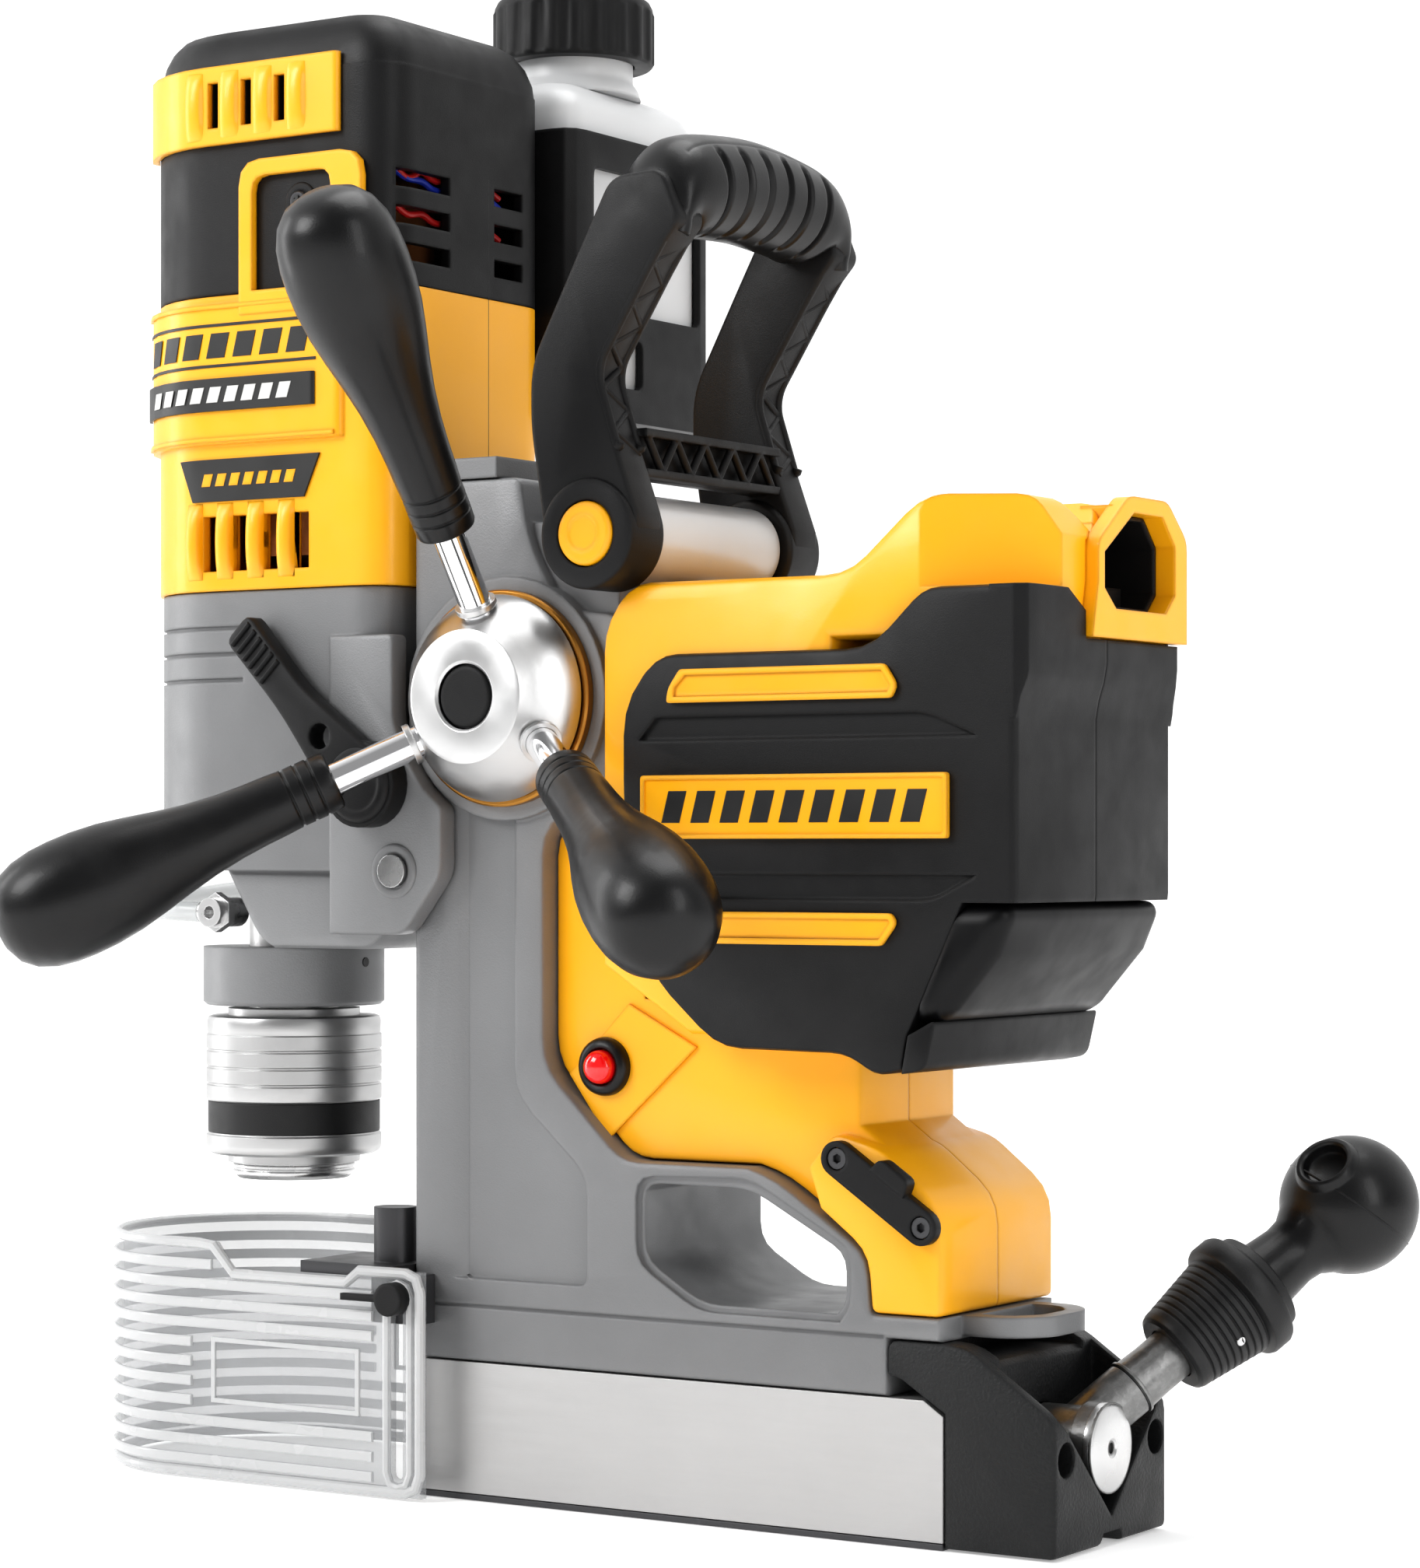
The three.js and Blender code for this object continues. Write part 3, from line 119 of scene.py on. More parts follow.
def surface(name, color, rough, metal=0.0, grain=2500, bump=0.12, blotch=0.06, rough_var=0.06,
            stretch=None, coat=0.0, ior=1.5, edge=1.0, aniso=0.0, around=None, wear=0.0, specular=0.5,
            alpha=1.0, subsurface=0.0, speckle=0.0):
    """A procedural finish: grain and rounded edges in the normal, blotches in the colour, uneven gloss."""
    mat, nodes, links, bsdf = tree_of(name)
    coord = nodes.new("ShaderNodeTexCoord").outputs["Object"]
    big = noise(nodes, links, coord, 18, 3)
    fine = noise(nodes, links, coord, grain, 3, 0.6, stretch)
    tint = mixed(nodes, links, ramp(nodes, links, big, 0, 1), shade(color, 1 - blotch),
                 shade(color, 1 + blotch))
    if speckle:
        tint = mixed(nodes, links, ramp(nodes, links, fine, 0, speckle, 0.45, 0.7), tint, shade(color, 1.9))
    geometry = nodes.new("ShaderNodeNewGeometry")
    if wear:
        worn = ramp(nodes, links, geometry.outputs["Pointiness"], 0, wear, 0.52, 0.6)
        tint = mixed(nodes, links, worn, tint, shade(color, 1.7))
    links.new(tint, bsdf.inputs["Base Color"])
    middle = noise(nodes, links, coord, 90, 2, 0.5, stretch and tuple(s ** 0.5 for s in stretch))
    links.new(ramp(nodes, links, middle, max(0.02, rough - rough_var), rough + rough_var),
              bsdf.inputs["Roughness"])
    bsdf.inputs["Metallic"].default_value = metal
    bsdf.inputs["IOR"].default_value = ior
    bsdf.inputs["Specular IOR Level"].default_value = specular
    bsdf.inputs["Coat Weight"].default_value = coat
    bsdf.inputs["Coat Roughness"].default_value = 0.08
    bsdf.inputs["Alpha"].default_value = alpha
    if subsurface:
        bsdf.inputs["Subsurface Weight"].default_value = subsurface
        bsdf.inputs["Subsurface Radius"].default_value = (0.01, 0.01, 0.01)
    if aniso:
        bsdf.inputs["Anisotropic"].default_value = aniso
    if around:
        tangent = nodes.new("ShaderNodeTangent")
        tangent.direction_type = "RADIAL"
        tangent.axis = around
        links.new(tangent.outputs["Tangent"], bsdf.inputs["Tangent"])
    relief = nodes.new("ShaderNodeBump")
    relief.inputs["Strength"].default_value = bump
    relief.inputs["Distance"].default_value = 0.0003
    links.new(fine, relief.inputs["Height"])
    if edge:
        soft = nodes.new("ShaderNodeBevel")
        soft.samples = 4
        soft.inputs["Radius"].default_value = edge * MM
        links.new(soft.outputs["Normal"], relief.inputs["Normal"])
    links.new(relief.outputs["Normal"], bsdf.inputs["Normal"])
    return mat


YELLOW_RGB = (0.95, 0.44, 0.006)
YELLOW = surface("yellow_moulded", YELLOW_RGB, 0.36, grain=3000, bump=0.1, blotch=0.02, coat=0.12, edge=1.6)
CHARCOAL = surface("charcoal_moulded", (0.0085, 0.0085, 0.009), 0.46, specular=0.28, grain=2600, bump=0.2,
                   edge=1.6)
BLACK_GLOSS = surface("black_polished", (0.0035, 0.0035, 0.004), 0.36, grain=900, bump=0.02, coat=0.0,
                      specular=0.22,
                      edge=2.0)
RUBBER = surface("black_soft_grip", (0.0045, 0.0045, 0.005), 0.36, specular=0.36, grain=2200, bump=0.14,
                 coat=0.06, edge=0.8)
RUBBER_MATT = surface("black_rubber_matt", (0.005, 0.005, 0.0055), 0.5, grain=2400, bump=0.2, edge=0.6)
CAST = surface("grey_cast_paint", (0.20, 0.202, 0.206), 0.42, metal=0.2, grain=1900, bump=0.3, wear=0.15,
               edge=1.4)
CAST_DARK = surface("black_cast_texture", (0.012, 0.0125, 0.013), 0.48, specular=0.35, grain=950, bump=1.0,
                    edge=1.8,
                    speckle=0.25)
BRUSHED = surface("brushed_steel", (0.5, 0.497, 0.495), 0.42, metal=0.75, grain=260, bump=0.14, blotch=0.03,
                  stretch=(0.35, 6, 30), edge=0.5)
STEEL = surface("ground_steel", (0.6, 0.6, 0.6), 0.27, metal=1.0, grain=700, bump=0.05, edge=0.4)
STEEL_DARK = surface("blackened_steel", (0.06, 0.06, 0.063), 0.42, metal=0.6, grain=1500, bump=0.2, edge=0.5,
                     wear=0.4)
ZINC = surface("zinc_plated", (0.2, 0.2, 0.198), 0.4, metal=0.9, grain=420, bump=0.45, rough_var=0.12,
               edge=0.4, speckle=0.35)
CHROME = surface("chrome_plate", (0.86, 0.86, 0.87), 0.07, metal=1.0, grain=300, bump=0.01, rough_var=0.02,
                 edge=0.3)
TURNED_Y = surface("turned_aluminium", (0.6, 0.6, 0.6), 0.34, metal=1.0, grain=500, bump=0.05, aniso=0.6,
                   around="Y", edge=0.4)
TURNED_Z = surface("turned_sleeve", (0.5, 0.5, 0.5), 0.36, metal=0.95, grain=900, bump=0.12,
                   stretch=(1, 1, 8), edge=0.3)
BRONZE = surface("turned_bronze", (0.45, 0.22, 0.05), 0.34, metal=1.0, grain=500, bump=0.05, edge=0.4)
SILVER = surface("silver_paint", (0.6, 0.61, 0.62), 0.34, metal=0.3, grain=1600, bump=0.06, edge=0.8)
WHITE = surface("bottle_white", (0.62, 0.625, 0.63), 0.38, grain=1200, bump=0.06, blotch=0.01, edge=2.0,
                subsurface=0.3)
RED = surface("red_lens", (0.8, 0.006, 0.008), 0.12, grain=900, bump=0.02, coat=0.6, edge=0.4)
# Dark print and seam lines, and painted shade: dark discs and bars placed inside holes and screw recesses.
PRINT_AND_PAINTED_SHADE = surface("dark_print_and_painted_shade", (0.012, 0.012, 0.012), 0.45, grain=1800, bump=0.05, edge=0.3)
PALE_PRINT = surface("pale_print", (0.62, 0.62, 0.6), 0.45, grain=1800, bump=0.05, edge=0.3)
CLEAR = surface("clear_wall", (0.42, 0.43, 0.44), 0.2, grain=500, bump=0.03, alpha=0.34, edge=0.6,
                blotch=0.01)
CLEAR_RIM = surface("clear_rim", (0.66, 0.665, 0.67), 0.24, grain=500, bump=0.03, alpha=0.72, edge=0,
                    blotch=0.01)
HOSE = surface("clear_hose", (0.5, 0.52, 0.52), 0.12, grain=500, bump=0.02, alpha=0.45, edge=0, blotch=0.02)
COPPER = surface("copper_winding", (0.4, 0.16, 0.06), 0.35, metal=1.0, grain=600, bump=0.4,
                 stretch=(1, 1, 20), edge=0)
CABLE_RED = surface("red_cable", (0.5, 0.015, 0.015), 0.4, grain=1200, bump=0.1, edge=0)
CABLE_BLUE = surface("blue_cable", (0.015, 0.04, 0.4), 0.4, grain=1200, bump=0.1, edge=0)

MATERIAL_OF = {
    "magnet_block": BRUSHED, "pole_plate": STEEL_DARK, "end_block": CAST_DARK, "column_casting": CAST,
    "column_top_plate": CAST, "rear_housing_near": YELLOW, "rear_housing_far": YELLOW,
    "side_cover_near": CHARCOAL, "side_cover_far": CHARCOAL, "rear_bumper": BLACK_GLOSS,
    "battery_bay": CHARCOAL, "latch_plate": CHARCOAL, "guard_bracket": STEEL_DARK, "magnet_shaft": ZINC,
    "lever_arm": ZINC, "chip_guard": CLEAR, "wing_screw_near": CHARCOAL, "wing_screw_far": CHARCOAL,
    "carry_handle": CHARCOAL, "gearbox_housing": CAST, "slide_bar": STEEL, "motor_housing": YELLOW,
    "motor_cap": CHARCOAL, "vent_panel": YELLOW, "badge_plate": PRINT_AND_PAINTED_SHADE, "motor_core": COPPER,
    "gib_bolt": STEEL, "gear_lever": CHARCOAL, "bottle_cradle": CHARCOAL, "spindle_chuck": TURNED_Z,
    "pinion_shaft": STEEL_DARK, "label_plate": YELLOW, "upper_bar": YELLOW, "lower_bar": YELLOW,
    "latch_screw_upper": STEEL_DARK, "latch_screw_lower": STEEL_DARK, "end_block_screw_near": STEEL_DARK,
    "end_block_screw_far": STEEL_DARK, "hose_fitting": STEEL,
}


# ------------------------------------------------------------------ geometry helpers
def smoothing_group():
    """Smooth shading everywhere except across edges sharper than 28 degrees."""
    group = bpy.data.node_groups.new("soft_shading", "GeometryNodeTree")
    group.interface.new_socket("Geometry", in_out="INPUT", socket_type="NodeSocketGeometry")
    group.interface.new_socket("Geometry", in_out="OUTPUT", socket_type="NodeSocketGeometry")
    nodes, links = group.nodes, group.links
    start, end = nodes.new("NodeGroupInput"), nodes.new("NodeGroupOutput")
    faces, edges = nodes.new("GeometryNodeSetShadeSmooth"), nodes.new("GeometryNodeSetShadeSmooth")
    edges.domain = "EDGE"
    edges.inputs["Shade Smooth"].default_value = False
    angle = nodes.new("GeometryNodeInputMeshEdgeAngle")
    sharp = nodes.new("FunctionNodeCompare")
    sharp.data_type = "FLOAT"
    sharp.operation = "GREATER_THAN"
    sharp.inputs["B"].default_value = math.radians(28)
    links.new(start.outputs[0], faces.inputs["Geometry"])
    links.new(faces.outputs[0], edges.inputs["Geometry"])
    links.new(angle.outputs["Unsigned Angle"], sharp.inputs["A"])
    links.new(sharp.outputs["Result"], edges.inputs["Selection"])
    links.new(edges.outputs[0], end.inputs[0])
    return group


SOFT_SHADING = smoothing_group()


def soften(obj):
    modifier = obj.modifiers.new("soft_shading", "NODES")
    modifier.node_group = SOFT_SHADING


def dress(node, material):
    """Gives a CAD node its finish. Its mesh keeps its place; only shading and materials change."""
    obj = NODE[node]
    mesh = obj.data
    custom = mesh.attributes.get("custom_normal")
    if custom:
        mesh.attributes.remove(custom)
    mesh.materials.clear()
    mesh.materials.append(material)
    weld = obj.modifiers.new("weld", "WELD")
    weld.merge_threshold = 2e-6
    soften(obj)


def finish_piece(name, bm, material, body, replaced=(), bevel=0.0, segments=3):
    bmesh.ops.remove_doubles(bm, verts=bm.verts, dist=1e-4)
    bmesh.ops.recalc_face_normals(bm, faces=bm.faces)
    mesh = bpy.data.meshes.new(name)
    bm.transform(Matrix.Scale(MM, 4))
    bm.to_mesh(mesh)
    bm.free()
    obj = bpy.data.objects.new(name, mesh)
    bpy.context.scene.collection.objects.link(obj)
    mesh.materials.append(material)
    if bevel:
        modifier = obj.modifiers.new("bevel", "BEVEL")
        modifier.width = bevel * MM
        modifier.segments = segments
        modifier.limit_method = "ANGLE"
        modifier.angle_limit = math.radians(34)
    soften(obj)
    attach(obj, body)
    if replaced:
        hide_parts(*replaced)
    return obj


def basis(direction):
    d = Vector(direction).normalized()
    side = d.cross(Z) if abs(d.z) < 0.9 else d.cross(X)
    side.normalize()
    return d, side, d.cross(side)


def add_turned(bm, profile, start, direction, seg=96, ripple=None):
    """Adds a solid of revolution from (radius, along) pairs; ripple(angle, along) scales the radius."""
    d, u, v = basis(direction)
    start = Vector(start)
    rings = []
    for radius, along in profile:
        centre = start + d * along
        if radius < 1e-6:
            rings.append([bm.verts.new(centre)])
            continue
        ring = []
        for i in range(seg):
            t = 2 * math.pi * i / seg
            r = radius * (ripple(t, along) if ripple else 1)
            ring.append(bm.verts.new(centre + (u * math.cos(t) + v * math.sin(t)) * r))
        rings.append(ring)
    for a, b in zip(rings, rings[1:]):
        for i in range(seg):
            j = (i + 1) % seg
            quad = [a[i % len(a)], a[j % len(a)], b[j % len(b)], b[i % len(b)]]
            corners = list(dict.fromkeys(quad))
            if len(corners) > 2:
                bm.faces.new(corners)
    return rings


def turned(name, profile, start, direction, material, body, replaced=(), seg=96, bevel=0.0, ripple=None):
    bm = bmesh.new()
    add_turned(bm, profile, start, direction, seg, ripple)
    return finish_piece(name, bm, material, body, replaced, bevel, 2)


def rounded(corners, steps=6):
    """Points of a closed outline from (a, b) or (a, b, radius) corners."""
    points = []
    count = len(corners)
    for i, corner in enumerate(corners):
        p = Vector(corner[:2])
        r = corner[2] if len(corner) > 2 else 0
        if not r:
            points.append(tuple(p))
            continue
        before = (Vector(corners[i - 1][:2]) - p).normalized() * r + p
        after = (Vector(corners[(i + 1) % count][:2]) - p).normalized() * r + p
        for k in range(steps + 1):
            t = k / steps
            points.append(tuple(before * (1 - t) ** 2 + p * 2 * t * (1 - t) + after * t * t))
    return points


def place(axis, a, b, along):
    return {"x": (along, a, b), "y": (a, along, b), "z": (a, b, along)}[axis]


def add_prism(bm, axis, corners, low, high, steps=6):
    points = rounded(corners, steps)
    bottom = [bm.verts.new(place(axis, a, b, low)) for a, b in points]
    top = [bm.verts.new(place(axis, a, b, high)) for a, b in points]
    count = len(points)
    for i in range(count):
        j = (i + 1) % count
        bm.faces.new((bottom[i], bottom[j], top[j], top[i]))
    bm.faces.new(bottom[::-1])
    bm.faces.new(top)


def prism(name, axis, corners, low, high, material, body, replaced=(), bevel=0.4):
    bm = bmesh.new()
    add_prism(bm, axis, corners, low, high)
    return finish_piece(name, bm, material, body, replaced, bevel, 2)


def add_ring(bm, axis, outer, inner, low, high, steps=6):
    """A frame: the band between two outlines that have the same number of corners."""
    a, b = rounded(outer, steps), rounded(inner, steps)
    loops = [[bm.verts.new(place(axis, p, q, level)) for p, q in line]
             for line, level in ((a, low), (a, high), (b, high), (b, low))]
    count = len(a)
    for k in range(4):
        first, second = loops[k], loops[(k + 1) % 4]
        for i in range(count):
            j = (i + 1) % count
            bm.faces.new((first[i], first[j], second[j], second[i]))


def add_tube(bm, path, radius, seg=12, closed=False, flatten=1.0, up=None):
    """A tube along a path; radius is a number or one per point."""
    points = [Vector(p) for p in path]
    count = len(points)
    radii = radius if isinstance(radius, (list, tuple)) else [radius] * count
    rings = []
    side = None
    for i, p in enumerate(points):
        ahead = points[(i + 1) % count] if closed or i < count - 1 else p
        behind = points[i - 1] if closed or i > 0 else p
        d = (ahead - behind).normalized()
        if side is None:
            side = (d.cross(Vector(up)) if up else basis(d)[1]).normalized()
        side = (side - d * side.dot(d)).normalized()
        other = d.cross(side)
        rings.append([bm.verts.new(p + (side * math.cos(t) * flatten + other * math.sin(t)) * radii[i])
                      for t in (2 * math.pi * k / seg for k in range(seg))])
    pairs = list(zip(rings, rings[1:])) + ([(rings[-1], rings[0])] if closed else [])
    for a, b in pairs:
        for i in range(seg):
            j = (i + 1) % seg
            bm.faces.new((a[i], a[j], b[j], b[i]))
    if not closed:
        bm.faces.new(rings[0][::-1])
        bm.faces.new(rings[-1])


def tube(name, path, radius, material, body, replaced=(), seg=12, closed=False):
    bm = bmesh.new()
    add_tube(bm, path, radius, seg, closed)
    return finish_piece(name, bm, material, body, replaced, 0, 2)


def spline(points, count):
    """A smooth Catmull-Rom line through the points."""
    pts = [Vector(p) for p in points]
    pts = [pts[0] * 2 - pts[1], *pts, pts[-1] * 2 - pts[-2]]
    spans = len(pts) - 3
    line = []
    for k in range(count):
        s = k / (count - 1) * spans
        i = min(int(s), spans - 1)
        t = s - i
        a, b, c, d = pts[i:i + 4]
        line.append(0.5 * (2 * b + (c - a) * t + (2 * a - 5 * b + 4 * c - d) * t * t
                           + (3 * b - a - 3 * c + d) * t ** 3))
    return line


# ------------------------------------------------------------------ CAD nodes that stay
hidden_by_detail = {
    "capstan_hub", "capstan_collar", "capstan_rod_upper", "capstan_rod_front", "capstan_rod_rear",
    "capstan_grip_upper", "capstan_grip_front", "capstan_grip_rear", "chuck_sleeve", "quill",
    "coolant_bottle", "bottle_cap", "coolant_hose", "lock_sleeve", "lever_knob", "handle_grip",
    "lock_button_near", "lock_button_far", "handle_barrel", "button_bezel", "red_button", "carry_handle",
    "rear_bumper",
}
for node_name in NODE:
    if node_name not in hidden_by_detail:
        dress(node_name, MATERIAL_OF[node_name])


# ------------------------------------------------------------------ capstan
hub_low, hub_high = box_mm("capstan_hub")
HUB = Vector(((hub_low.x + hub_high.x) / 2, 0, (hub_low.z + hub_high.z) / 2))
HUB_FRONT = hub_low.y
LEAN = math.radians(34)
APEX = Vector((HUB.x, -32, HUB.z))
SPOKES = {"upper": 90, "front": 210, "rear": 330}

turned("capstan_hub_turned", [
    (9.6, 6), (9.6, 0.6), (10.4, 0), (18.6, 0), (19.6, 0.35), (20.3, 1.2), (22.4, 3.6), (25, 6.6),
    (27.4, 9.6),
    (29.2, 12.4), (30.2, 14.6), (30.6, 15.9), (30.3, 16.4), (9.6, 16.4), (9.6, 6)],
    (HUB.x, HUB_FRONT, HUB.z), Y, TURNED_Y, "capstan", ["capstan_hub"], 128)
turned("capstan_collar_ring", [
    (10, 0), (31.4, 0), (32, 0.6), (32, 3), (10, 3), (10, 0)],
    (HUB.x, box_mm("capstan_collar")[0].y, HUB.z), Y, BRONZE, "base", ["capstan_collar"], 128)
turned("capstan_plug", [(0, 0), (8.4, 0), (9.1, 0.7), (9.1, 2), (0, 2)], (HUB.x, HUB_FRONT + 0.4, HUB.z), Y,
       CHARCOAL, "capstan")

GRIP_PROFILE = [(5.2, 0.5), (7.4, 0), (8.5, 0.5), (8.9, 1.4)]
for ring_start in (5, 9, 13):
    GRIP_PROFILE += [(9, ring_start), (8.55, ring_start + 0.25), (8.55, ring_start + 0.75),
                     (9.05, ring_start + 1)]
GRIP_PROFILE += [
    (9.3, 18), (9.6, 26), (10.2, 34), (11.4, 43), (13.2, 52), (15.3, 61), (16.9, 69), (17.8, 77), (18, 84),
    (17.7, 90),
    (16.6, 96), (14.4, 101.2), (11, 105), (6, 107.3), (0, 107.9)]
for place_name, degrees in SPOKES.items():
    a = math.radians(degrees)
    along = (Vector((math.cos(a), 0, math.sin(a))) * math.cos(LEAN) - Y * math.sin(LEAN)).normalized()
    turned(f"capstan_bar_{place_name}", [(0, 0), (4.4, 0), (4.8, 0.4), (4.8, 50), (0, 50)], APEX + along * 21,
           along, CHROME, "capstan", [f"capstan_rod_{place_name}"], 48)
    turned(f"capstan_handgrip_{place_name}", GRIP_PROFILE, APEX + along * 57.5, along, RUBBER, "capstan",
           [f"capstan_grip_{place_name}"], 72)
    turned(f"capstan_socket_{place_name}", [(4.85, 0), (5.9, 0), (6.2, 0.4), (6.2, 2), (4.85, 2), (4.85, 0)],
           APEX + along * 31.2, along, TURNED_Y, "capstan", seg=48)

# ------------------------------------------------------------------ chuck and quill
chuck_low, chuck_high = box_mm("spindle_chuck")
AXIS_X = (chuck_low.x + chuck_high.x) / 2
quill_low, quill_high = box_mm("quill")
sleeve_low, sleeve_high = box_mm("chuck_sleeve")


def spindle_at(z):
    return (AXIS_X, 0, z)


turned("quill_nose", [
    (14.5, 0), (27.3, 0), (28.5, 1.1), (28.5, quill_high.z - quill_low.z), (14.5, quill_high.z - quill_low.z),
    (14.5, 0)], spindle_at(quill_low.z), Z, CAST, "carriage", ["quill"], 128)
# Painted shade: a thin dark disc on the quill nose stands in for the shade inside the grub screw hole.
turned("quill_grub_hole_painted_shade", [(0, 0), (1.5, 0), (1.5, 0.5), (0, 0.5)],
       (AXIS_X + 28.2, 0, 158.2), X, PRINT_AND_PAINTED_SHADE, "carriage", seg=24)

SLEEVE_Z, BAND_Z, BAND_TOP = 97.7, 104.5, 114.4
turned("chuck_lower_ring", [
    (21.1, 0), (25.6, 0), (26.9, 0.7), (27.5, 1.9), (27.6, 3), (27.6, 6), (27, 6.4), (27, 6.8), (21.1, 6.8),
    (21.1, 0)],
    spindle_at(SLEEVE_Z), Z, TURNED_Z, "chuck_release", seg=128)
turned("chuck_grip_band", [
    (21.1, 0), (26.9, 0), (27.1, 0.3), (27.1, 9.6), (26.9, 9.9), (21.1, 9.9), (21.1, 0)],
    spindle_at(BAND_Z), Z,
    RUBBER_MATT, "chuck_release", seg=128)
upper = [(21.1, 0), (27, 0), (27.6, 0.5)]
for step in range(4):
    base_z = 5.3 * step
    upper += [(27.65, base_z + 0.7), (27.65, base_z + 4.9), (27.2, base_z + 5.15), (27.2, base_z + 5.6)]
upper += [(27.3, 22), (27.4, 25), (26.9, 26.4), (25.8, 26.8), (21.1, 26.8), (21.1, 0)]
turned("chuck_sleeve_turned", upper, spindle_at(BAND_TOP), Z, TURNED_Z, "chuck_release", ["chuck_sleeve"],
       128)
nose = [(17.2, 0), (18.9, 0.3)]
for step in range(3):
    nose += [(19.2, 0.9 + step * 1.9), (19.2, 1.7 + step * 1.9), (18.85, 2.1 + step * 1.9),
             (18.85, 2.5 + step * 1.9)]
turned("chuck_nose_rings", [*nose, (18.85, 6.4), (17.2, 6.4), (17.2, 0)], spindle_at(chuck_low.z + 0.6), Z,
       STEEL,
       "spindle", seg=96)
# ------------------------------------------------------------------ red button, lock buttons, barrel
button_low, button_high = box_mm("red_button")
bezel_low, bezel_high = box_mm("button_bezel")
BUTTON = (button_low.x + button_high.x) / 2, (button_low.z + button_high.z) / 2
turned("button_bezel_ring", [
    (5.3, 4.4), (5.3, 0.9), (5.7, 0.2), (6.4, 0), (7.4, 0.4), (8.3, 1.4), (8.6, 2.6), (8.6, 4.4), (5.3, 4.4)],
    (BUTTON[0], bezel_low.y, BUTTON[1]), Y, RUBBER, "base", ["button_bezel"], 64)
turned("red_button_dome", [(0, 0), (1.6, 0.15), (3, 0.7), (4.1, 1.6), (4.8, 2.8), (5, 4), (5, 5.6), (0, 5.6)],
       (BUTTON[0], button_low.y, BUTTON[1]), Y, RED, "button", ["red_button"], 48)

barrel_low, barrel_high = box_mm("handle_barrel")
PIVOT = (barrel_low.x + barrel_high.x) / 2, (barrel_low.z + barrel_high.z) / 2
turned("handle_barrel_turned", [
    (0, -44), (8, -44), (8, -33.7), (12.2, -33.7), (13, -32.9), (13, 32.9), (12.2, 33.7), (8, 33.7), (8, 44),
    (0, 44)], (PIVOT[0], 0, PIVOT[1]), Y, SILVER, "base", ["handle_barrel"], 96)
for side, lock in ((-1, "near"), (1, "far")):
    low, high = box_mm(f"lock_button_{lock}")
    start = low.y if side < 0 else high.y
    turned(f"lock_button_{lock}_cap", [
        (0, 0.5), (4.6, 0.5), (5, 0.1), (5.4, 0.1), (5.8, 0.35), (8.1, 0.35), (8.9, 1), (9.3, 2),
        (9.3, 5.4), (0, 5.4)],
        (PIVOT[0], start, PIVOT[1]), (0, -side, 0), YELLOW, f"{lock}_lock", [f"lock_button_{lock}"], 64)

# ------------------------------------------------------------------ carry handle
LEG_OUTLINE = [(-33, 284), (-38, 316, 6), (-38, 334, 8), (-22, 364, 6), (-10, 386, 5), (8, 387, 5),
               (14, 372, 3),
               (5, 362, 3), (-15, 331, 5), (-9, 312, 6), (-1, 290), (-1, 284)]
LEG_REAR = [(11, 372), (2, 359), (-14, 334), (-14.8, 328), (-9.6, 312), (-8, 307)]
ARCH = [(-1, -43.4, 371), (0, -42.6, 376), (1.4, -39, 381), (2.2, -32, 384), (2.2, -22, 385.6), (2, 0, 387),
        (2.2, 22, 385.6), (2.2, 32, 384), (1.4, 39, 381), (0, 42.6, 376), (-1, 43.4, 371)]
WEB_COUNT = 11


def arch_radius(y, turn):
    """The grip's radius: six finger slots low on its rear half and a parting line along its crown."""
    base = 14.2 + 1.1 * (1 - (y / 43) ** 2)
    degrees = math.degrees(math.atan2(math.sin(turn), math.cos(turn)))
    if abs(y) > 36:
        return base
    slot = max(math.exp(-((y + 27.5 - 11 * k) / 1.15) ** 4) for k in range(6))
    reach = 1 / (1 + math.exp((abs(degrees + 18) - 56) / 3))
    seam = max(math.exp(-((degrees - line) / 1.3) ** 2) for line in (52, 146))
    return base - 1.9 * slot * reach - 0.5 * seam


bm = bmesh.new()
rings = []
route_points = spline(ARCH, 261)
for i, point in enumerate(route_points):
    ahead = route_points[min(i + 1, 260)] - route_points[max(i - 1, 0)]
    d = ahead.normalized()
    rear = (X - d * X.dot(d)).normalized()
    up = rear.cross(d)
    ring = []
    squeeze = 1 - 0.56 * min(1, max(0, (abs(point.y) - 33) / 9)) ** 2
    for k in range(120):
        t = 2 * math.pi * k / 120
        spoke = rear * math.cos(t) + up * (math.sin(t) * squeeze)
        ring.append(bm.verts.new(point + spoke * arch_radius(point.y, t)))
    rings.append(ring)
for a, b in zip(rings, rings[1:]):
    for k in range(120):
        j = (k + 1) % 120
        bm.faces.new((a[k], a[j], b[j], b[k]))
bm.faces.new(rings[0][::-1])
bm.faces.new(rings[-1])
finish_piece("handle_overmould", bm, RUBBER, "handle", ["handle_grip"])

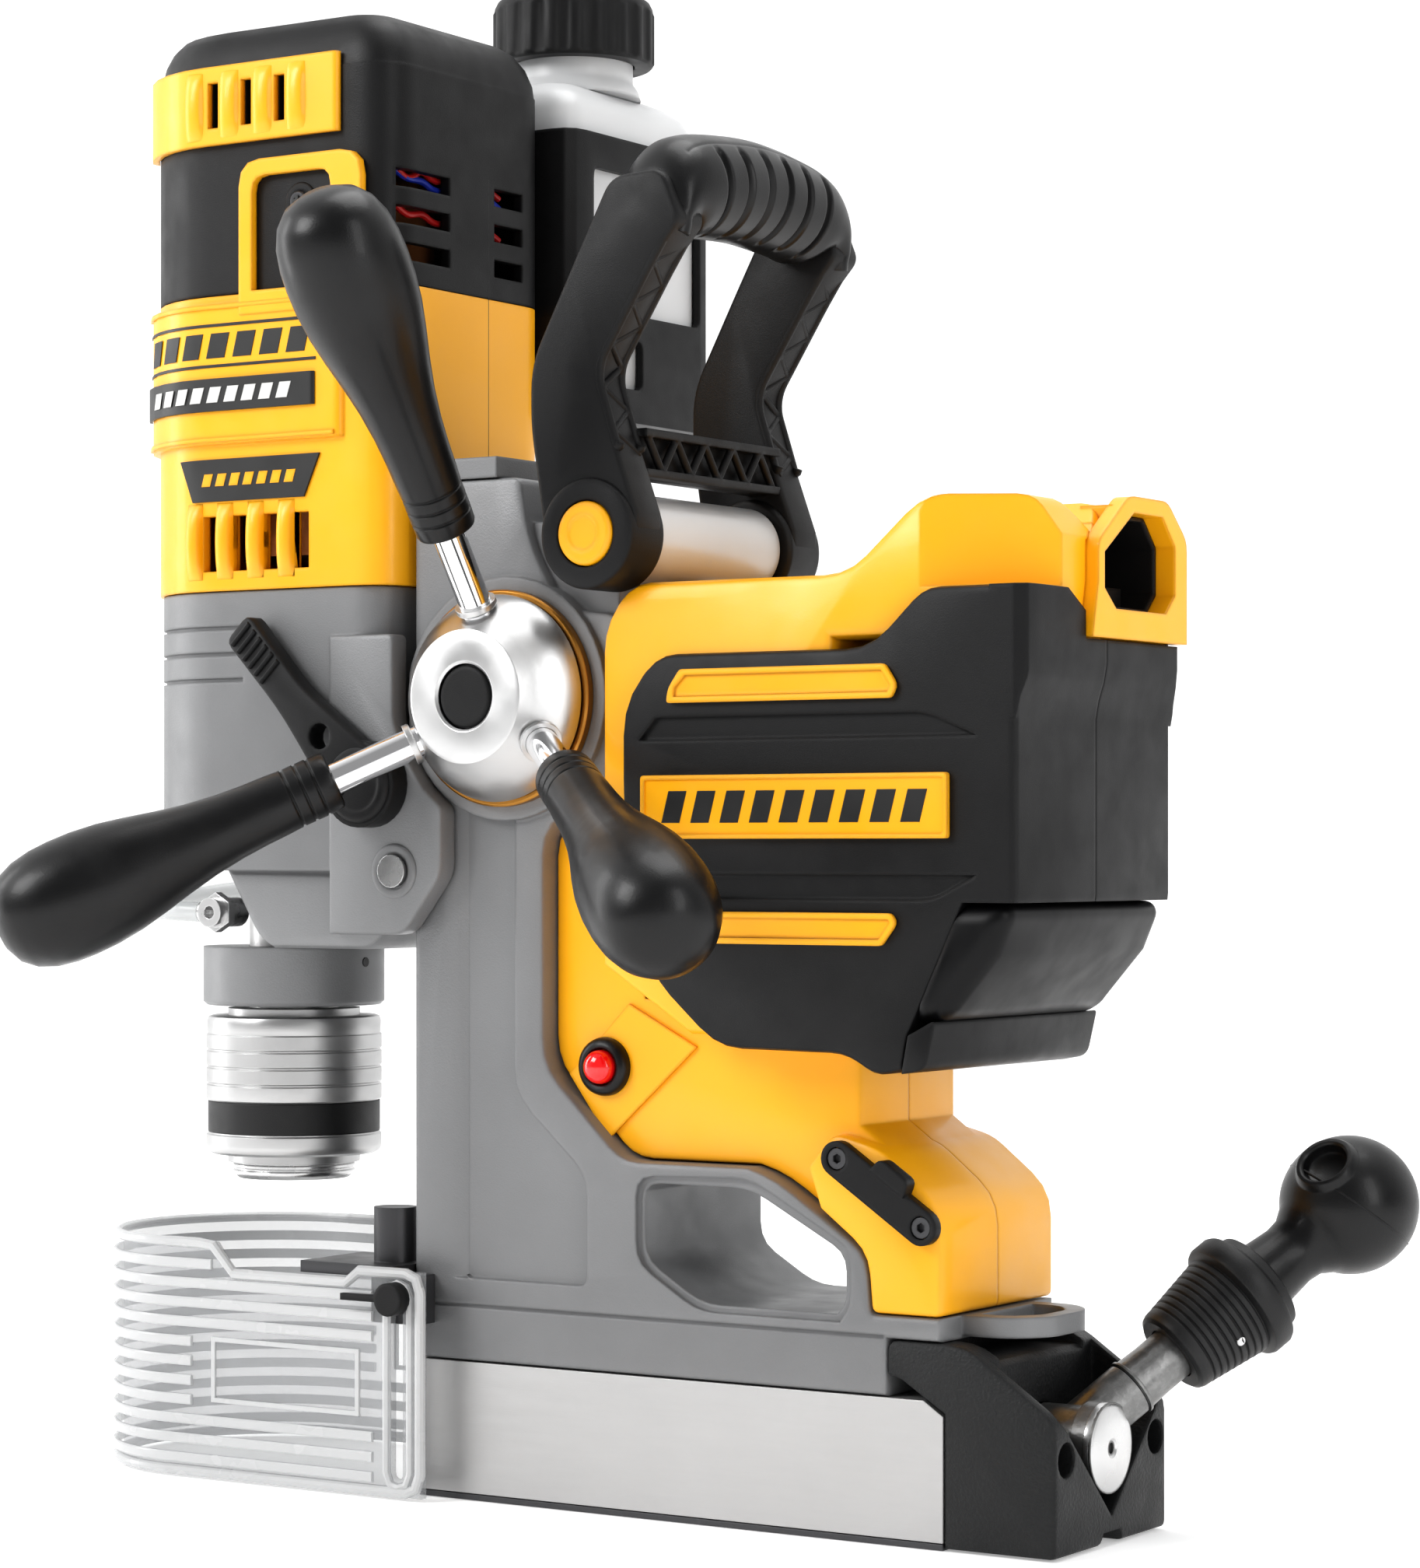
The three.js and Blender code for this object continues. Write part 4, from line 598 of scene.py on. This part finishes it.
bm = bmesh.new()
for side in (-1, 1):
    low_y, high_y = sorted((side * 36, side * 50))
    add_prism(bm, "y", LEG_OUTLINE, low_y, high_y)
add_prism(bm, "z", [(-18, -37), (-10, -37), (-10, 37), (-18, 37)], 301, 315)
finish_piece("handle_frame", bm, CHARCOAL, "handle", ["carry_handle"], 1.5, 3)
bm = bmesh.new()
for side in (-1, 1):
    add_turned(bm, [(9.7, 0), (14.6, 0), (15.6, 0.5), (16, 1.6), (16, 16.6), (15, 18), (8.4, 18), (8.4, 7.4),
                    (9.7, 7.4), (9.7, 0)], (PIVOT[0], side * 52, PIVOT[1]), (0, -side, 0), 72)
    for y in (37.6, 48.4):
        add_tube(bm, [(x, side * y, z) for x, z in rounded([(*p, 3) if 0 < n < 6 else p for n, p in
                                                         enumerate(LEG_REAR)], 4)], 1.5, 10)
    corners = [Vector((x, 0, z)) for x, z in LEG_REAR]
    spans = [(b - a).length for a, b in zip(corners, corners[1:])]

    def along(share):
        """The point at a share of the leg's rear edge."""
        left = share * sum(spans)
        for a, b, span in zip(corners, corners[1:], spans):
            if left <= span:
                return a + (b - a) * (left / span)
            left -= span
        return corners[-1]

    for n in range(WEB_COUNT):
        here, there = along(n / WEB_COUNT), along((n + 1) / WEB_COUNT)
        ys = (38, 48) if n % 2 else (48, 38)
        add_tube(bm, [(here.x, side * ys[0], here.z), (there.x, side * ys[1], there.z)], 1.2, 8)
for z in (302.2, 313.8):
    add_prism(bm, "y", [(-10.5, z - 1.2), (-6, z - 1.2, 0.4), (-6, z + 1.2, 0.4), (-10.5, z + 1.2)], -36.5,
              36.5)
for n in range(9):
    y0, y1 = -34 + 7.55 * n, -34 + 7.55 * (n + 1)
    z0, z1 = (303, 313) if n % 2 else (313, 303)
    add_tube(bm, [(-7.6, y0, z0), (-7.6, y1, z1)], 1.2, 8)
finish_piece("handle_ribs", bm, CHARCOAL, "handle")

# ------------------------------------------------------------------ magnet lever
shaft_low, shaft_high = box_mm("magnet_shaft")
LEVER_ROOT = Vector((110, 0, 27))
LEVER = Vector((53.5, 74, 64)).normalized()


def on_lever(distance):
    return LEVER_ROOT + LEVER * distance


sleeve = [(8, 0.3), (11.2, 0), (12.4, 0.8), (12.9, 2)]
for k in range(9):
    s = 2.6 + k * 2.3
    r = 13 + k * 0.36
    sleeve += [(r, s), (r + 0.15, s + 1.5), (r - 0.3, s + 1.75), (r - 0.3, s + 2.1)]
sleeve += [(16.4, 23.4), (18, 24), (18.5, 25), (18.5, 29.6), (18, 30.6), (16.6, 31), (15.6, 32), (15, 34.4),
           (14, 35), (8, 35), (8, 0.3)]
turned("lock_sleeve_ribbed", sleeve, on_lever(41), LEVER, RUBBER_MATT, "lever_lock", ["lock_sleeve"], 96)
window = (LEVER.cross(Z).cross(LEVER) * -0.35 + Vector((0.62, -0.72, -0.2))).normalized()
window = (window - LEVER * window.dot(LEVER)).normalized()
turned("lock_sleeve_window", [(0, 0), (1.3, 0), (1.5, 0.3), (1.5, 1.2), (0, 1.2)],
       on_lever(56) + window * 14.9,
       -window, STEEL, "lever_lock", seg=24)

bm = bmesh.new()
ball = on_lever(111.6)
DISH = Vector((-0.06, -0.74, 0.67)).normalized()
dish = [(0, 15.9), (4.4, 16), (5.9, 16.6), (6.3, 17.6), (6.6, 19.4), (7.2, 20), (8.4, 19.9), (9.1, 18.9),
        (9.6, 17.6)]
for k in range(60, -90, -4):
    t = math.radians(k)
    dish.append((20 * math.cos(t), 20 * math.sin(t)))
dish = [p for p in dish[:9]] + [p for p in dish[9:] if p[0] > 0.2] + [(0, -20)]
add_turned(bm, dish, ball, DISH, 96)
neck = 111.6 - 76.3
add_turned(bm, [(6.3, 0), (9.8, 0), (10.4, 0.8), (9.8, 6), (9.3, 11), (9.8, neck - 20), (11.4, neck - 17.4),
                (13, neck - 14.6), (8, neck - 8), (0, neck - 8), (0, 18), (6.3, 18), (6.3, 0)],
                on_lever(76.3),
           LEVER, 96)
finish_piece("lever_ball", bm, RUBBER, "magnet_lever", ["lever_knob"])
seam_axis = (LEVER + DISH * 0.4).normalized()
seam_u = seam_axis.cross(DISH).normalized()
seam_v = seam_axis.cross(seam_u)
tube("lever_ball_seam", [ball + (seam_u * math.cos(t) + seam_v * math.sin(t)) * 19.75
                         for t in (2 * math.pi * k / 96 for k in range(96))], 0.45, RUBBER, "magnet_lever",
     closed=True, seg=8)
turned("lever_joint_ring", [(8.05, 0), (8.5, 0.2), (8.5, 1), (8.05, 1.2), (8.05, 0)], on_lever(25.4), LEVER,
       ZINC,
       "magnet_lever", seg=64)
turned("shaft_end_disc", [
    (0, 1.2), (1.7, 1.2), (1.9, 0.5), (2.8, 0), (11.4, 0), (12.3, 0.4), (12.7, 1.2), (12.7, 3), (0, 3)],
    (min(shaft_high.x, 125.2), 0, 27), -X, STEEL, "magnet_lever", seg=96)
# Painted shade: a thin dark disc in the end disc's centre recess stands in for the shade inside the socket.
turned("shaft_end_socket_painted_shade", [(0, 0), (1.7, 0), (1.7, 0.4), (0, 0.4)], (min(shaft_high.x, 125.2) - 1, 0, 27),
       -X,
       PRINT_AND_PAINTED_SHADE, "magnet_lever", seg=24)

# ------------------------------------------------------------------ bottle
bottle_low, bottle_high = box_mm("coolant_bottle")
cap_low, cap_high = box_mm("bottle_cap")
CENTRE = Vector(((bottle_low.x + bottle_high.x) / 2, (bottle_low.y + bottle_high.y) / 2, 0))
HALF = Vector(((bottle_high.x - bottle_low.x) / 2, (bottle_high.y - bottle_low.y) / 2, 0))


def bottle_ring(bm, inset, z, corner):
    hx, hy = HALF.x - inset, HALF.y - inset
    points = rounded([(CENTRE.x - hx, CENTRE.y - hy, corner), (CENTRE.x + hx, CENTRE.y - hy, corner),
                      (CENTRE.x + hx, CENTRE.y + hy, corner), (CENTRE.x - hx, CENTRE.y + hy, corner)], 8)
    return [bm.verts.new((x, y, z)) for x, y in points]


bm = bmesh.new()
levels = [(9, bottle_low.z, 8), (3, bottle_low.z + 0.8, 9), (0.5, bottle_low.z + 4, 9), (0, 350, 9),
          (0, 424, 9),
          (0.6, 430, 9), (2.6, 434.5, 9.5), (6, 437.6, 9), (10.5, 439.6, 8)]
rings = [bottle_ring(bm, *level) for level in levels]
for a, b in zip(rings, rings[1:]):
    for k in range(len(a)):
        j = (k + 1) % len(a)
        bm.faces.new((a[k], a[j], b[j], b[k]))
bm.faces.new(rings[0][::-1])
bm.faces.new(rings[-1])
add_turned(bm, [(0, 0), (22, 0), (21, 3), (19.6, 5), (19.4, 6), (19.4, 24), (0, 24)],
           (CENTRE.x, CENTRE.y, 439), Z, 64)
finish_piece("bottle_blown", bm, WHITE, "bottle", ["coolant_bottle"])


def knurl(t, along):
    return 1 + (0.018 * math.copysign(abs(math.cos(20 * t)) ** 0.5,
                                      math.cos(20 * t)) if 1.2 < along < 17.5 else 0)


height = cap_high.z - cap_low.z
turned("bottle_cap_ribbed", [
    (20, 0), (25.4, 0), (26, 0.6), (26, 1.3), (26, 2), (26, 17), (26, 17.8), (25.9, 18.6), (25, 20.4),
    (23.4, height),
    (0, height), (0, 16.5), (20, 16.5), (20, 0)], (CENTRE.x, CENTRE.y, cap_low.z), Z, CHARCOAL, "bottle_lid",
    ["bottle_cap"], 320, ripple=knurl)

# ------------------------------------------------------------------ coolant hose
HOSE_POINTS = [(-177.6, -30, 174), (-192, -30, 174.5), (-206, -22, 175.5), (-213, -6, 177), (-210, 16, 179),
               (-196, 38, 184), (-176, 54, 203), (-158, 62, 245), (-136, 75, 295), (-119, 84.5, 316),
               (-116, 85, 330.2)]
route = spline(HOSE_POINTS, 120)
hose = tube("coolant_hose_clear", route, 3.2, HOSE, "carriage", ["coolant_hose"], 20)

# ------------------------------------------------------------------ chip guard ribs and rims
guard_low, guard_high = box_mm("chip_guard")
GUARD_HALF = guard_high.y
ARC_X = guard_low.x + GUARD_HALF


def guard_path(outside, rear, z):
    r = GUARD_HALF + outside
    points = [(rear + (ARC_X - rear) * k / 8, -r, z) for k in range(8)]
    points += [(ARC_X - r * math.sin(math.pi * k / 48), -r * math.cos(math.pi * k / 48),
                z) for k in range(49)]
    return points + [(ARC_X + (rear - ARC_X) * k / 8, r, z) for k in range(1, 9)]


def add_band(bm, rear, low, high, inner=-0.3, outer=0.9):
    """A flat band with a softened face that wraps round the guard."""
    corners = [(inner, low), (outer - 0.35, low), (outer, low + 0.5), (outer, high - 0.5),
               (outer - 0.35, high),
               (inner, high)]
    rails = [[bm.verts.new(p) for p in guard_path(out, rear, z)] for out, z in corners]
    for n, first in enumerate(rails):
        second = rails[(n + 1) % len(rails)]
        for k in range(len(first) - 1):
            bm.faces.new((first[k], first[k + 1], second[k + 1], second[k]))
    bm.faces.new([rail[0] for rail in rails])
    bm.faces.new([rail[-1] for rail in rails][::-1])


bm = bmesh.new()
for k in range(11):
    z = 4.6 + k * 6
    rear = -98 if z < 60 else -160
    if 22 < z < 42:
        rear = -168
    add_band(bm, rear, z, z + 3.1)
finish_piece("guard_ribs", bm, CLEAR_RIM, "guard")
bm = bmesh.new()
for side in (-1, 1):
    y = side * (GUARD_HALF - 0.7)
    rim = [(ARC_X, y, 72.4), (-166, y, 72.4), (-160, y, 71.8), (-151.8, y, 63.6), (-108.5, y, 63.6),
           (-103.5, y, 67.4),
           (-86, y, 67.4), (-82.4, y, 66), (-81, y, 62), (-81, y, 8), (-82.4, y, 3.8), (-86, y, 2.2),
           (ARC_X, y, 2.2)]
    add_tube(bm, rim, 1.7, 10)
    slot_line = [(-93.4, y, 8), (-93.4, y, 60), (-92, y, 63.4), (-89, y, 64.6), (-86, y, 63.4),
                 (-84.6, y, 60),
                 (-84.6, y, 8), (-86, y, 4.6), (-89, y, 3.6), (-92, y, 4.6)]
    add_tube(bm, slot_line, 1.3, 8, closed=True)
    panel = [(-160, 24), (-103, 24), (-103, 44), (-160, 44)]
    low_y, high_y = sorted((side * (GUARD_HALF - 0.3), side * (GUARD_HALF + 0.6)))
    add_ring(bm, "y", panel, [(-158.6, 25.4), (-104.4, 25.4), (-104.4, 42.6), (-158.6, 42.6)], low_y, high_y)
for z in (2.2, 72.4):
    r = GUARD_HALF - 0.7
    nose = [(ARC_X - r * math.sin(math.pi * k / 48), -r * math.cos(math.pi * k / 48), z) for k in range(49)]
    add_tube(bm, nose, 1.6, 10)
finish_piece("guard_rims", bm, CLEAR_RIM, "guard")

# ------------------------------------------------------------------ rear bumper and button boss
bm = bmesh.new()
add_prism(bm, "y", [(100, 178.8), (119.2, 178.8), (113, 164.6), (97.2, 146.2), (84.6, 146)], -47.8, 47.8)
finish_piece("bumper_shell", bm, BLACK_GLOSS, "base", ["rear_bumper"], 6, 8)
prism("bumper_lip", "y", [(87, 142.6), (95.8, 147.2, 2), (92.6, 133.4, 3), (85, 132)], -47.9, 47.9, CHARCOAL,
      "base", bevel=1.6)
BOSS_CORNERS = [Vector(p) for p in ((-39, 127.5), (-18, 148.5), (5.4, 136.5), (-25.2, 108.8))]
BOSS_HOLE = 8.0
bezel_low, bezel_high = box_mm("button_bezel")
boss_centre = Vector(((bezel_low.x + bezel_high.x) / 2, (bezel_low.z + bezel_high.z) / 2))


def boss_edge(turn):
    """Where the ray from the button's axis at this angle meets the boss outline."""
    ray = Vector((math.cos(turn), math.sin(turn)))
    reach = []
    for a, b in zip(BOSS_CORNERS, BOSS_CORNERS[1:] + BOSS_CORNERS[:1]):
        side = b - a
        cross = ray.x * side.y - ray.y * side.x
        if abs(cross) > 1e-6:
            away = ((a - boss_centre).x * side.y - (a - boss_centre).y * side.x) / cross
            share = ((a - boss_centre).x * ray.y - (a - boss_centre).y * ray.x) / cross
            if away > 0 and -0.001 <= share <= 1.001:
                reach.append(away)
    return boss_centre + ray * max(min(reach), BOSS_HOLE + 0.6)


corner_turns = [math.atan2((c - boss_centre).y, (c - boss_centre).x) for c in BOSS_CORNERS]
turns = sorted([2 * math.pi * k / 60 - math.pi for k in range(60)] + corner_turns)
boss_hole = [boss_centre + Vector((math.cos(t), math.sin(t))) * BOSS_HOLE for t in turns]
bm = bmesh.new()
add_ring(bm, "y", [tuple(boss_edge(t)) for t in turns], [tuple(p) for p in boss_hole], -28.1, -27.1)
finish_piece("button_boss", bm, YELLOW, "base")

# ------------------------------------------------------------------ bottle cradle ribs
cradle_low, cradle_high = box_mm("bottle_cradle")
bm = bmesh.new()
rib_low, rib_high = cradle_low.z + 7, cradle_high.z - 9
for share in (0.2, 0.5, 0.8):
    x = cradle_low.x + (cradle_high.x - cradle_low.x) * share
    add_prism(bm, "x", [(cradle_high.y - 0.3, rib_low), (cradle_high.y + 1.1, rib_low + 2),
                        (cradle_high.y + 1.1, rib_high - 2), (cradle_high.y - 0.3, rib_high)], x - 1.4,
                        x + 1.4)
for share in (0.28, 0.72):
    y = cradle_low.y + (cradle_high.y - cradle_low.y) * share
    add_prism(bm, "y", [(cradle_low.x + 0.3, rib_low), (cradle_low.x - 1.1, rib_low + 2),
                        (cradle_low.x - 1.1, rib_high - 2), (cradle_low.x + 0.3, rib_high)], y - 1.4, y + 1.4)
finish_piece("cradle_ribs", bm, CHARCOAL, "carriage", bevel=0.5, segments=2)

# ------------------------------------------------------------------ motor details
housing_low, housing_high = box_mm("motor_housing")
MOTOR_R = 42.0
MOTOR_X = -164.8


SEAM_Y, SEAM_HALF_WIDTH = 9, 0.22
prism("motor_rear_seam", "y", [(housing_high.x - 0.4, housing_low.z + 3),
                               (housing_high.x + 0.06, housing_low.z + 3),
                               (housing_high.x + 0.06, housing_high.z - 3),
                               (housing_high.x - 0.4, housing_high.z - 3)],
      SEAM_Y - SEAM_HALF_WIDTH, SEAM_Y + SEAM_HALF_WIDTH, PRINT_AND_PAINTED_SHADE, "carriage")


def flank(x, stand):
    """The (y) of the motor's near flank at x, `stand` outside it."""
    r = MOTOR_R + stand
    dx = min(0.0, x - MOTOR_X)
    return -math.sqrt(max(1.0, r * r - dx * dx))


def flank_rib(bm, x, z0, z1, width, stand, depth):
    """A rounded upright louvre on the near flank."""
    steps = 10
    rows = []
    for i in range(steps + 1):
        t = i / steps
        z = z0 + (z1 - z0) * t
        swell = math.sin(math.pi * min(1, max(0, t))) ** 0.45
        row = []
        for k in range(9):
            u = k / 8 * 2 - 1
            px = x + u * width / 2
            out = stand + depth * swell * math.sqrt(max(0, 1 - u * u))
            row.append(bm.verts.new((px, flank(px, out), z)))
        rows.append(row)
    backs = [[bm.verts.new((x + (k / 8 * 2 - 1) * width / 2,
                            flank(x + (k / 8 * 2 - 1) * width / 2, stand - 2.4),
                            z0 + (z1 - z0) * i / steps)) for k in range(9)] for i in range(steps + 1)]
    for grid, flip in ((rows, False), (backs, True)):
        for a, b in zip(grid, grid[1:]):
            for k in range(8):
                quad = (a[k], a[k + 1], b[k + 1], b[k])
                bm.faces.new(quad[::-1] if flip else quad)
    for i in range(steps):
        for k in (0, 8):
            bm.faces.new((rows[i][k], rows[i + 1][k], backs[i + 1][k], backs[i][k]))
    for i in (0, steps):
        for k in range(8):
            bm.faces.new((rows[i][k], rows[i][k + 1], backs[i][k + 1], backs[i][k]))


bm = bmesh.new()
for x in (-168.5, -154.5, -141.5, -128.5):
    flank_rib(bm, x, 411.5, 432.5, 7.5, 2.3, 2.4)
finish_piece("upper_louvres", bm, YELLOW, "carriage")
bm = bmesh.new()
for x in (-170.5, -158.2, -146.2, -134.2):
    flank_rib(bm, x, 276.5, 300, 6.4, 0, 3.0)
finish_piece("lower_louvres", bm, YELLOW, "carriage")


def flank_plate(bm, points, stand, thick):
    """A thin plate that follows the near flank, from (x, z) points along its upper and lower edges."""
    uppers, lowers = points
    rings = []
    for (xa, za), (xb, zb) in zip(uppers, lowers):
        rings.append([bm.verts.new((xa, flank(xa, stand), za)),
                      bm.verts.new((xa, flank(xa, stand + thick), za)),
                      bm.verts.new((xb, flank(xb, stand + thick), zb)),
                      bm.verts.new((xb, flank(xb, stand), zb))])
    for a, b in zip(rings, rings[1:]):
        for k in range(4):
            j = (k + 1) % 4
            bm.faces.new((a[k], a[j], b[j], b[k]))
    bm.faces.new(rings[0])
    bm.faces.new(rings[-1][::-1])


def strip(x0, x1, z0, z1, slant=0.0, count=14):
    xs = [x0 + (x1 - x0) * k / count for k in range(count + 1)]
    return [(x + slant, z1) for x in xs], [(x, z0) for x in xs]


bm = bmesh.new()
count = 16
xs = [-177 + 56 * k / count for k in range(count + 1)]
uppers = [(x, 313.5) for x in xs]
lowers = [(-177 + 6 + (56 - 12) * k / count, 300.5) for k in range(count + 1)]
flank_plate(bm, (uppers, lowers), 0.05, 0.7)
finish_piece("trapezoid_plate", bm, PRINT_AND_PAINTED_SHADE, "carriage")
bm = bmesh.new()
for k in range(7):
    x = -167 + 5.4 * k
    flank_plate(bm, strip(x, x + 3.4, 305.2, 309, 1.2, 3), 0.75, 0.12)
finish_piece("trapezoid_marks", bm, YELLOW, "carriage")
bm = bmesh.new()
for k in range(9):
    x = -190 + 6.8 * k
    flank_plate(bm, strip(x, x + 4.4, 330.6, 335.4, 1.6, 3), 3.52, 0.12)
finish_piece("badge_marks", bm, PALE_PRINT, "carriage")
bm = bmesh.new()
for z in (341.5, 354):
    flank_plate(bm, strip(-199, -121, z, z + 0.9), 2.32, 0.25)
for k in range(7):
    x = -195 + 10.4 * k
    flank_plate(bm, strip(x, x + 7.2, 344.4, 352, 2.0, 3), 2.32, 0.15)
finish_piece("label_marks", bm, PRINT_AND_PAINTED_SHADE, "carriage")
bm = bmesh.new()
for z in (318.6, 359.4):
    flank_plate(bm, strip(-200, -114, z, z + 1.4), 2.3, 0.7)
finish_piece("label_rims", bm, YELLOW, "carriage")

bm = bmesh.new()
add_turned(bm, [(0, 1.1), (1.2, 1.1), (1.5, 0.35), (2.6, 0.2), (3.1, 0.7), (3.1, 2.4), (0, 2.4)],
           (-128.6, -MOTOR_R - 2.1, 390), Y, 40)
finish_piece("cap_screw", bm, STEEL_DARK, "carriage")
# Painted shade: two thin dark bars on the screw head stand in for the shade inside its cross recess.
bm = bmesh.new()
add_prism(bm, "y", [(-129.2, 388.3), (-128, 388.3), (-128, 391.7), (-129.2, 391.7)], -MOTOR_R - 2.16,
          -MOTOR_R - 1)
add_prism(bm, "y", [(-130.3, 389.4), (-126.9, 389.4), (-126.9, 390.6), (-130.3, 390.6)], -MOTOR_R - 2.15,
          -MOTOR_R - 1)
finish_piece("cap_screw_cross_painted_shade", bm, PRINT_AND_PAINTED_SHADE, "carriage")
turned("cap_screw_recess", [(3.4, 0), (5.6, 0), (6, 0.4), (6, 1), (3.4, 1), (3.4, 0)],
       (-128.6, -MOTOR_R - 0.5, 390),
       Y, CHARCOAL, "carriage", seg=48)

for name, z, offset, material in (("red", 399, 0, CABLE_RED), ("blue", 396, 3, CABLE_BLUE),
                                  ("red_low", 386, 2, CABLE_RED)):
    tube(f"motor_cable_{name}", spline([(-101.5, -34 + offset, z + 3), (-100.6, -26, z - 2 + offset),
                                        (-101, -18, z + 1),
                                        (-100.8, -10, z - 1), (-101.5, 10, z + 2), (-101, 22, z - 2)], 30),
                                        1.1,
         material, "carriage", seg=10)

# ------------------------------------------------------------------ gearbox and speed lever details
bolt_low, bolt_high = box_mm("gib_bolt")
BOLT = (bolt_low.x + bolt_high.x) / 2, (bolt_low.z + bolt_high.z) / 2
turned("gib_bolt_recess", [(5.4, 0.4), (6, 0), (7.6, 0), (8.2, 0.5), (8.2, 1.4), (5.4, 1.4), (5.4, 0.4)],
       (BOLT[0], -42.9, BOLT[1]), Y, CAST, "carriage", seg=64)
lever_low, lever_high = box_mm("gear_lever")
direction = Vector((-46, 0, 48)).normalized()
across = Vector((direction.z, 0, -direction.x))
tip = Vector((-147, 0, 261))
bm = bmesh.new()
for k in range(6):
    centre = tip - direction * (3 + 3.2 * k)
    a, b = centre - across * 4.6, centre + across * 4.6
    add_tube(bm, [(a.x, lever_low.y - 0.1, a.z), (b.x, lever_low.y - 0.1, b.z)], 0.8, 8)
finish_piece("speed_lever_ribs", bm, CHARCOAL, "speed_lever")
turned("speed_lever_cap", [(0, 0.4), (8, 0.4), (8.6, 0), (10.6, 0.2), (11.6, 1.2), (11.6, 3), (0, 3)],
       (-101, lever_low.y - 0.4, 213), Y, CHARCOAL, "speed_lever", seg=64)

# ------------------------------------------------------------------ battery housing trims
plate_low, plate_high = box_mm("label_plate")
bm = bmesh.new()
count = 9
pitch = (plate_high.x - plate_low.x - 12) / count
for k in range(count):
    x = plate_low.x + 7 + pitch * k
    z0, z1 = plate_low.z + 4.5, plate_high.z - 4.5
    add_prism(bm, "y", [(x, z0), (x + pitch * 0.62, z0), (x + pitch * 0.62 + 2.4, z1), (x + 2.4, z1)],
              plate_low.y - 0.12, plate_low.y + 0.3)
finish_piece("label_plate_bars", bm, PRINT_AND_PAINTED_SHADE, "base")
bm = bmesh.new()
outer = [(plate_low.x, plate_low.z, 1.2), (plate_high.x, plate_low.z, 1.2), (plate_high.x, plate_high.z, 1.2),
         (plate_low.x, plate_high.z, 1.2)]
inner = [(plate_low.x + 1.3, plate_low.z + 1.3, 0.8), (plate_high.x - 1.3, plate_low.z + 1.3, 0.8),
         (plate_high.x - 1.3, plate_high.z - 1.3, 0.8), (plate_low.x + 1.3, plate_high.z - 1.3, 0.8)]
add_ring(bm, "y", outer, inner, plate_low.y - 0.5, plate_low.y + 0.3)
finish_piece("label_plate_rim", bm, YELLOW, "base")

# ------------------------------------------------------------------ floor, lights, camera
mat, nodes, links, bsdf = tree_of("pale_floor")
coord = nodes.new("ShaderNodeTexCoord").outputs["Object"]
links.new(mixed(nodes, links, ramp(nodes, links, noise(nodes, links, coord, 3, 2), 0, 1), (0.9, 0.9, 0.9),
                (0.93, 0.93, 0.93)), bsdf.inputs["Base Color"])
bsdf.inputs["Roughness"].default_value = 0.8
bsdf.inputs["Specular IOR Level"].default_value = 0.1
bsdf.inputs["Emission Color"].default_value = (1, 1, 1, 1)
bsdf.inputs["Emission Strength"].default_value = 0.3
bpy.ops.mesh.primitive_plane_add(size=30, location=(0, 0, -0.0002))
floor = bpy.context.object
floor.name = "floor"
floor.data.materials.append(mat)
floor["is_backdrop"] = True

world = bpy.data.worlds.new("studio")
bpy.context.scene.world = world
world.use_nodes = True
background = world.node_tree.nodes["Background"]
nodes, links = world.node_tree.nodes, world.node_tree.links
heading = nodes.new("ShaderNodeVectorMath")
heading.operation = "DOT_PRODUCT"
heading.inputs[1].default_value = (-0.54, 0.84, 0.05)
links.new(nodes.new("ShaderNodeTexCoord").outputs["Generated"], heading.inputs[0])
links.new(ramp(nodes, links, heading.outputs["Value"], 0.3, 1.05, -0.5, 0.45), background.inputs["Strength"])
background.inputs["Color"].default_value = (1, 1, 1, 1)
bpy.context.scene.view_settings.view_transform = "Standard"
bpy.context.scene.view_settings.look = "Medium High Contrast"


def area_light(name, location, target, size, power, size_y=None):
    data = bpy.data.lights.new(name, "AREA")
    data.energy = power
    data.shape = "RECTANGLE"
    data.size = size
    data.size_y = size_y or size
    light = bpy.data.objects.new(name, data)
    bpy.context.scene.collection.objects.link(light)
    light.location = location
    light.rotation_mode = "QUATERNION"
    light.rotation_quaternion = (Vector(target) - Vector(location)).to_track_quat("-Z", "Y")


area_light("key", (-0.85, -1.25, 1.15), (-0.03, 0, 0.22), 0.75, 15)
area_light("side", (1.3, -0.45, 0.7), (0, 0, 0.2), 0.4, 5, 1.1)
area_light("top", (0.05, 0.2, 1.5), (0, 0, 0.2), 0.9, 8)
area_light("strip", (-1.25, -0.3, 0.45), (-0.15, 0, 0.2), 0.25, 4, 1.2)

camera_data = bpy.data.cameras.new("camera")
camera = bpy.data.objects.new("camera", camera_data)
bpy.context.scene.collection.objects.link(camera)
camera.location = (0.6368, -1.0005, 0.1935)
camera.rotation_mode = "QUATERNION"
camera.rotation_quaternion = Vector((-0.5417, 0.8406, 0)).to_track_quat("-Z", "Y")
camera_data.sensor_width = 36
camera_data.lens = 92.34
camera_data.shift_y = 0.0417
bpy.context.scene.camera = camera

low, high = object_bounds()
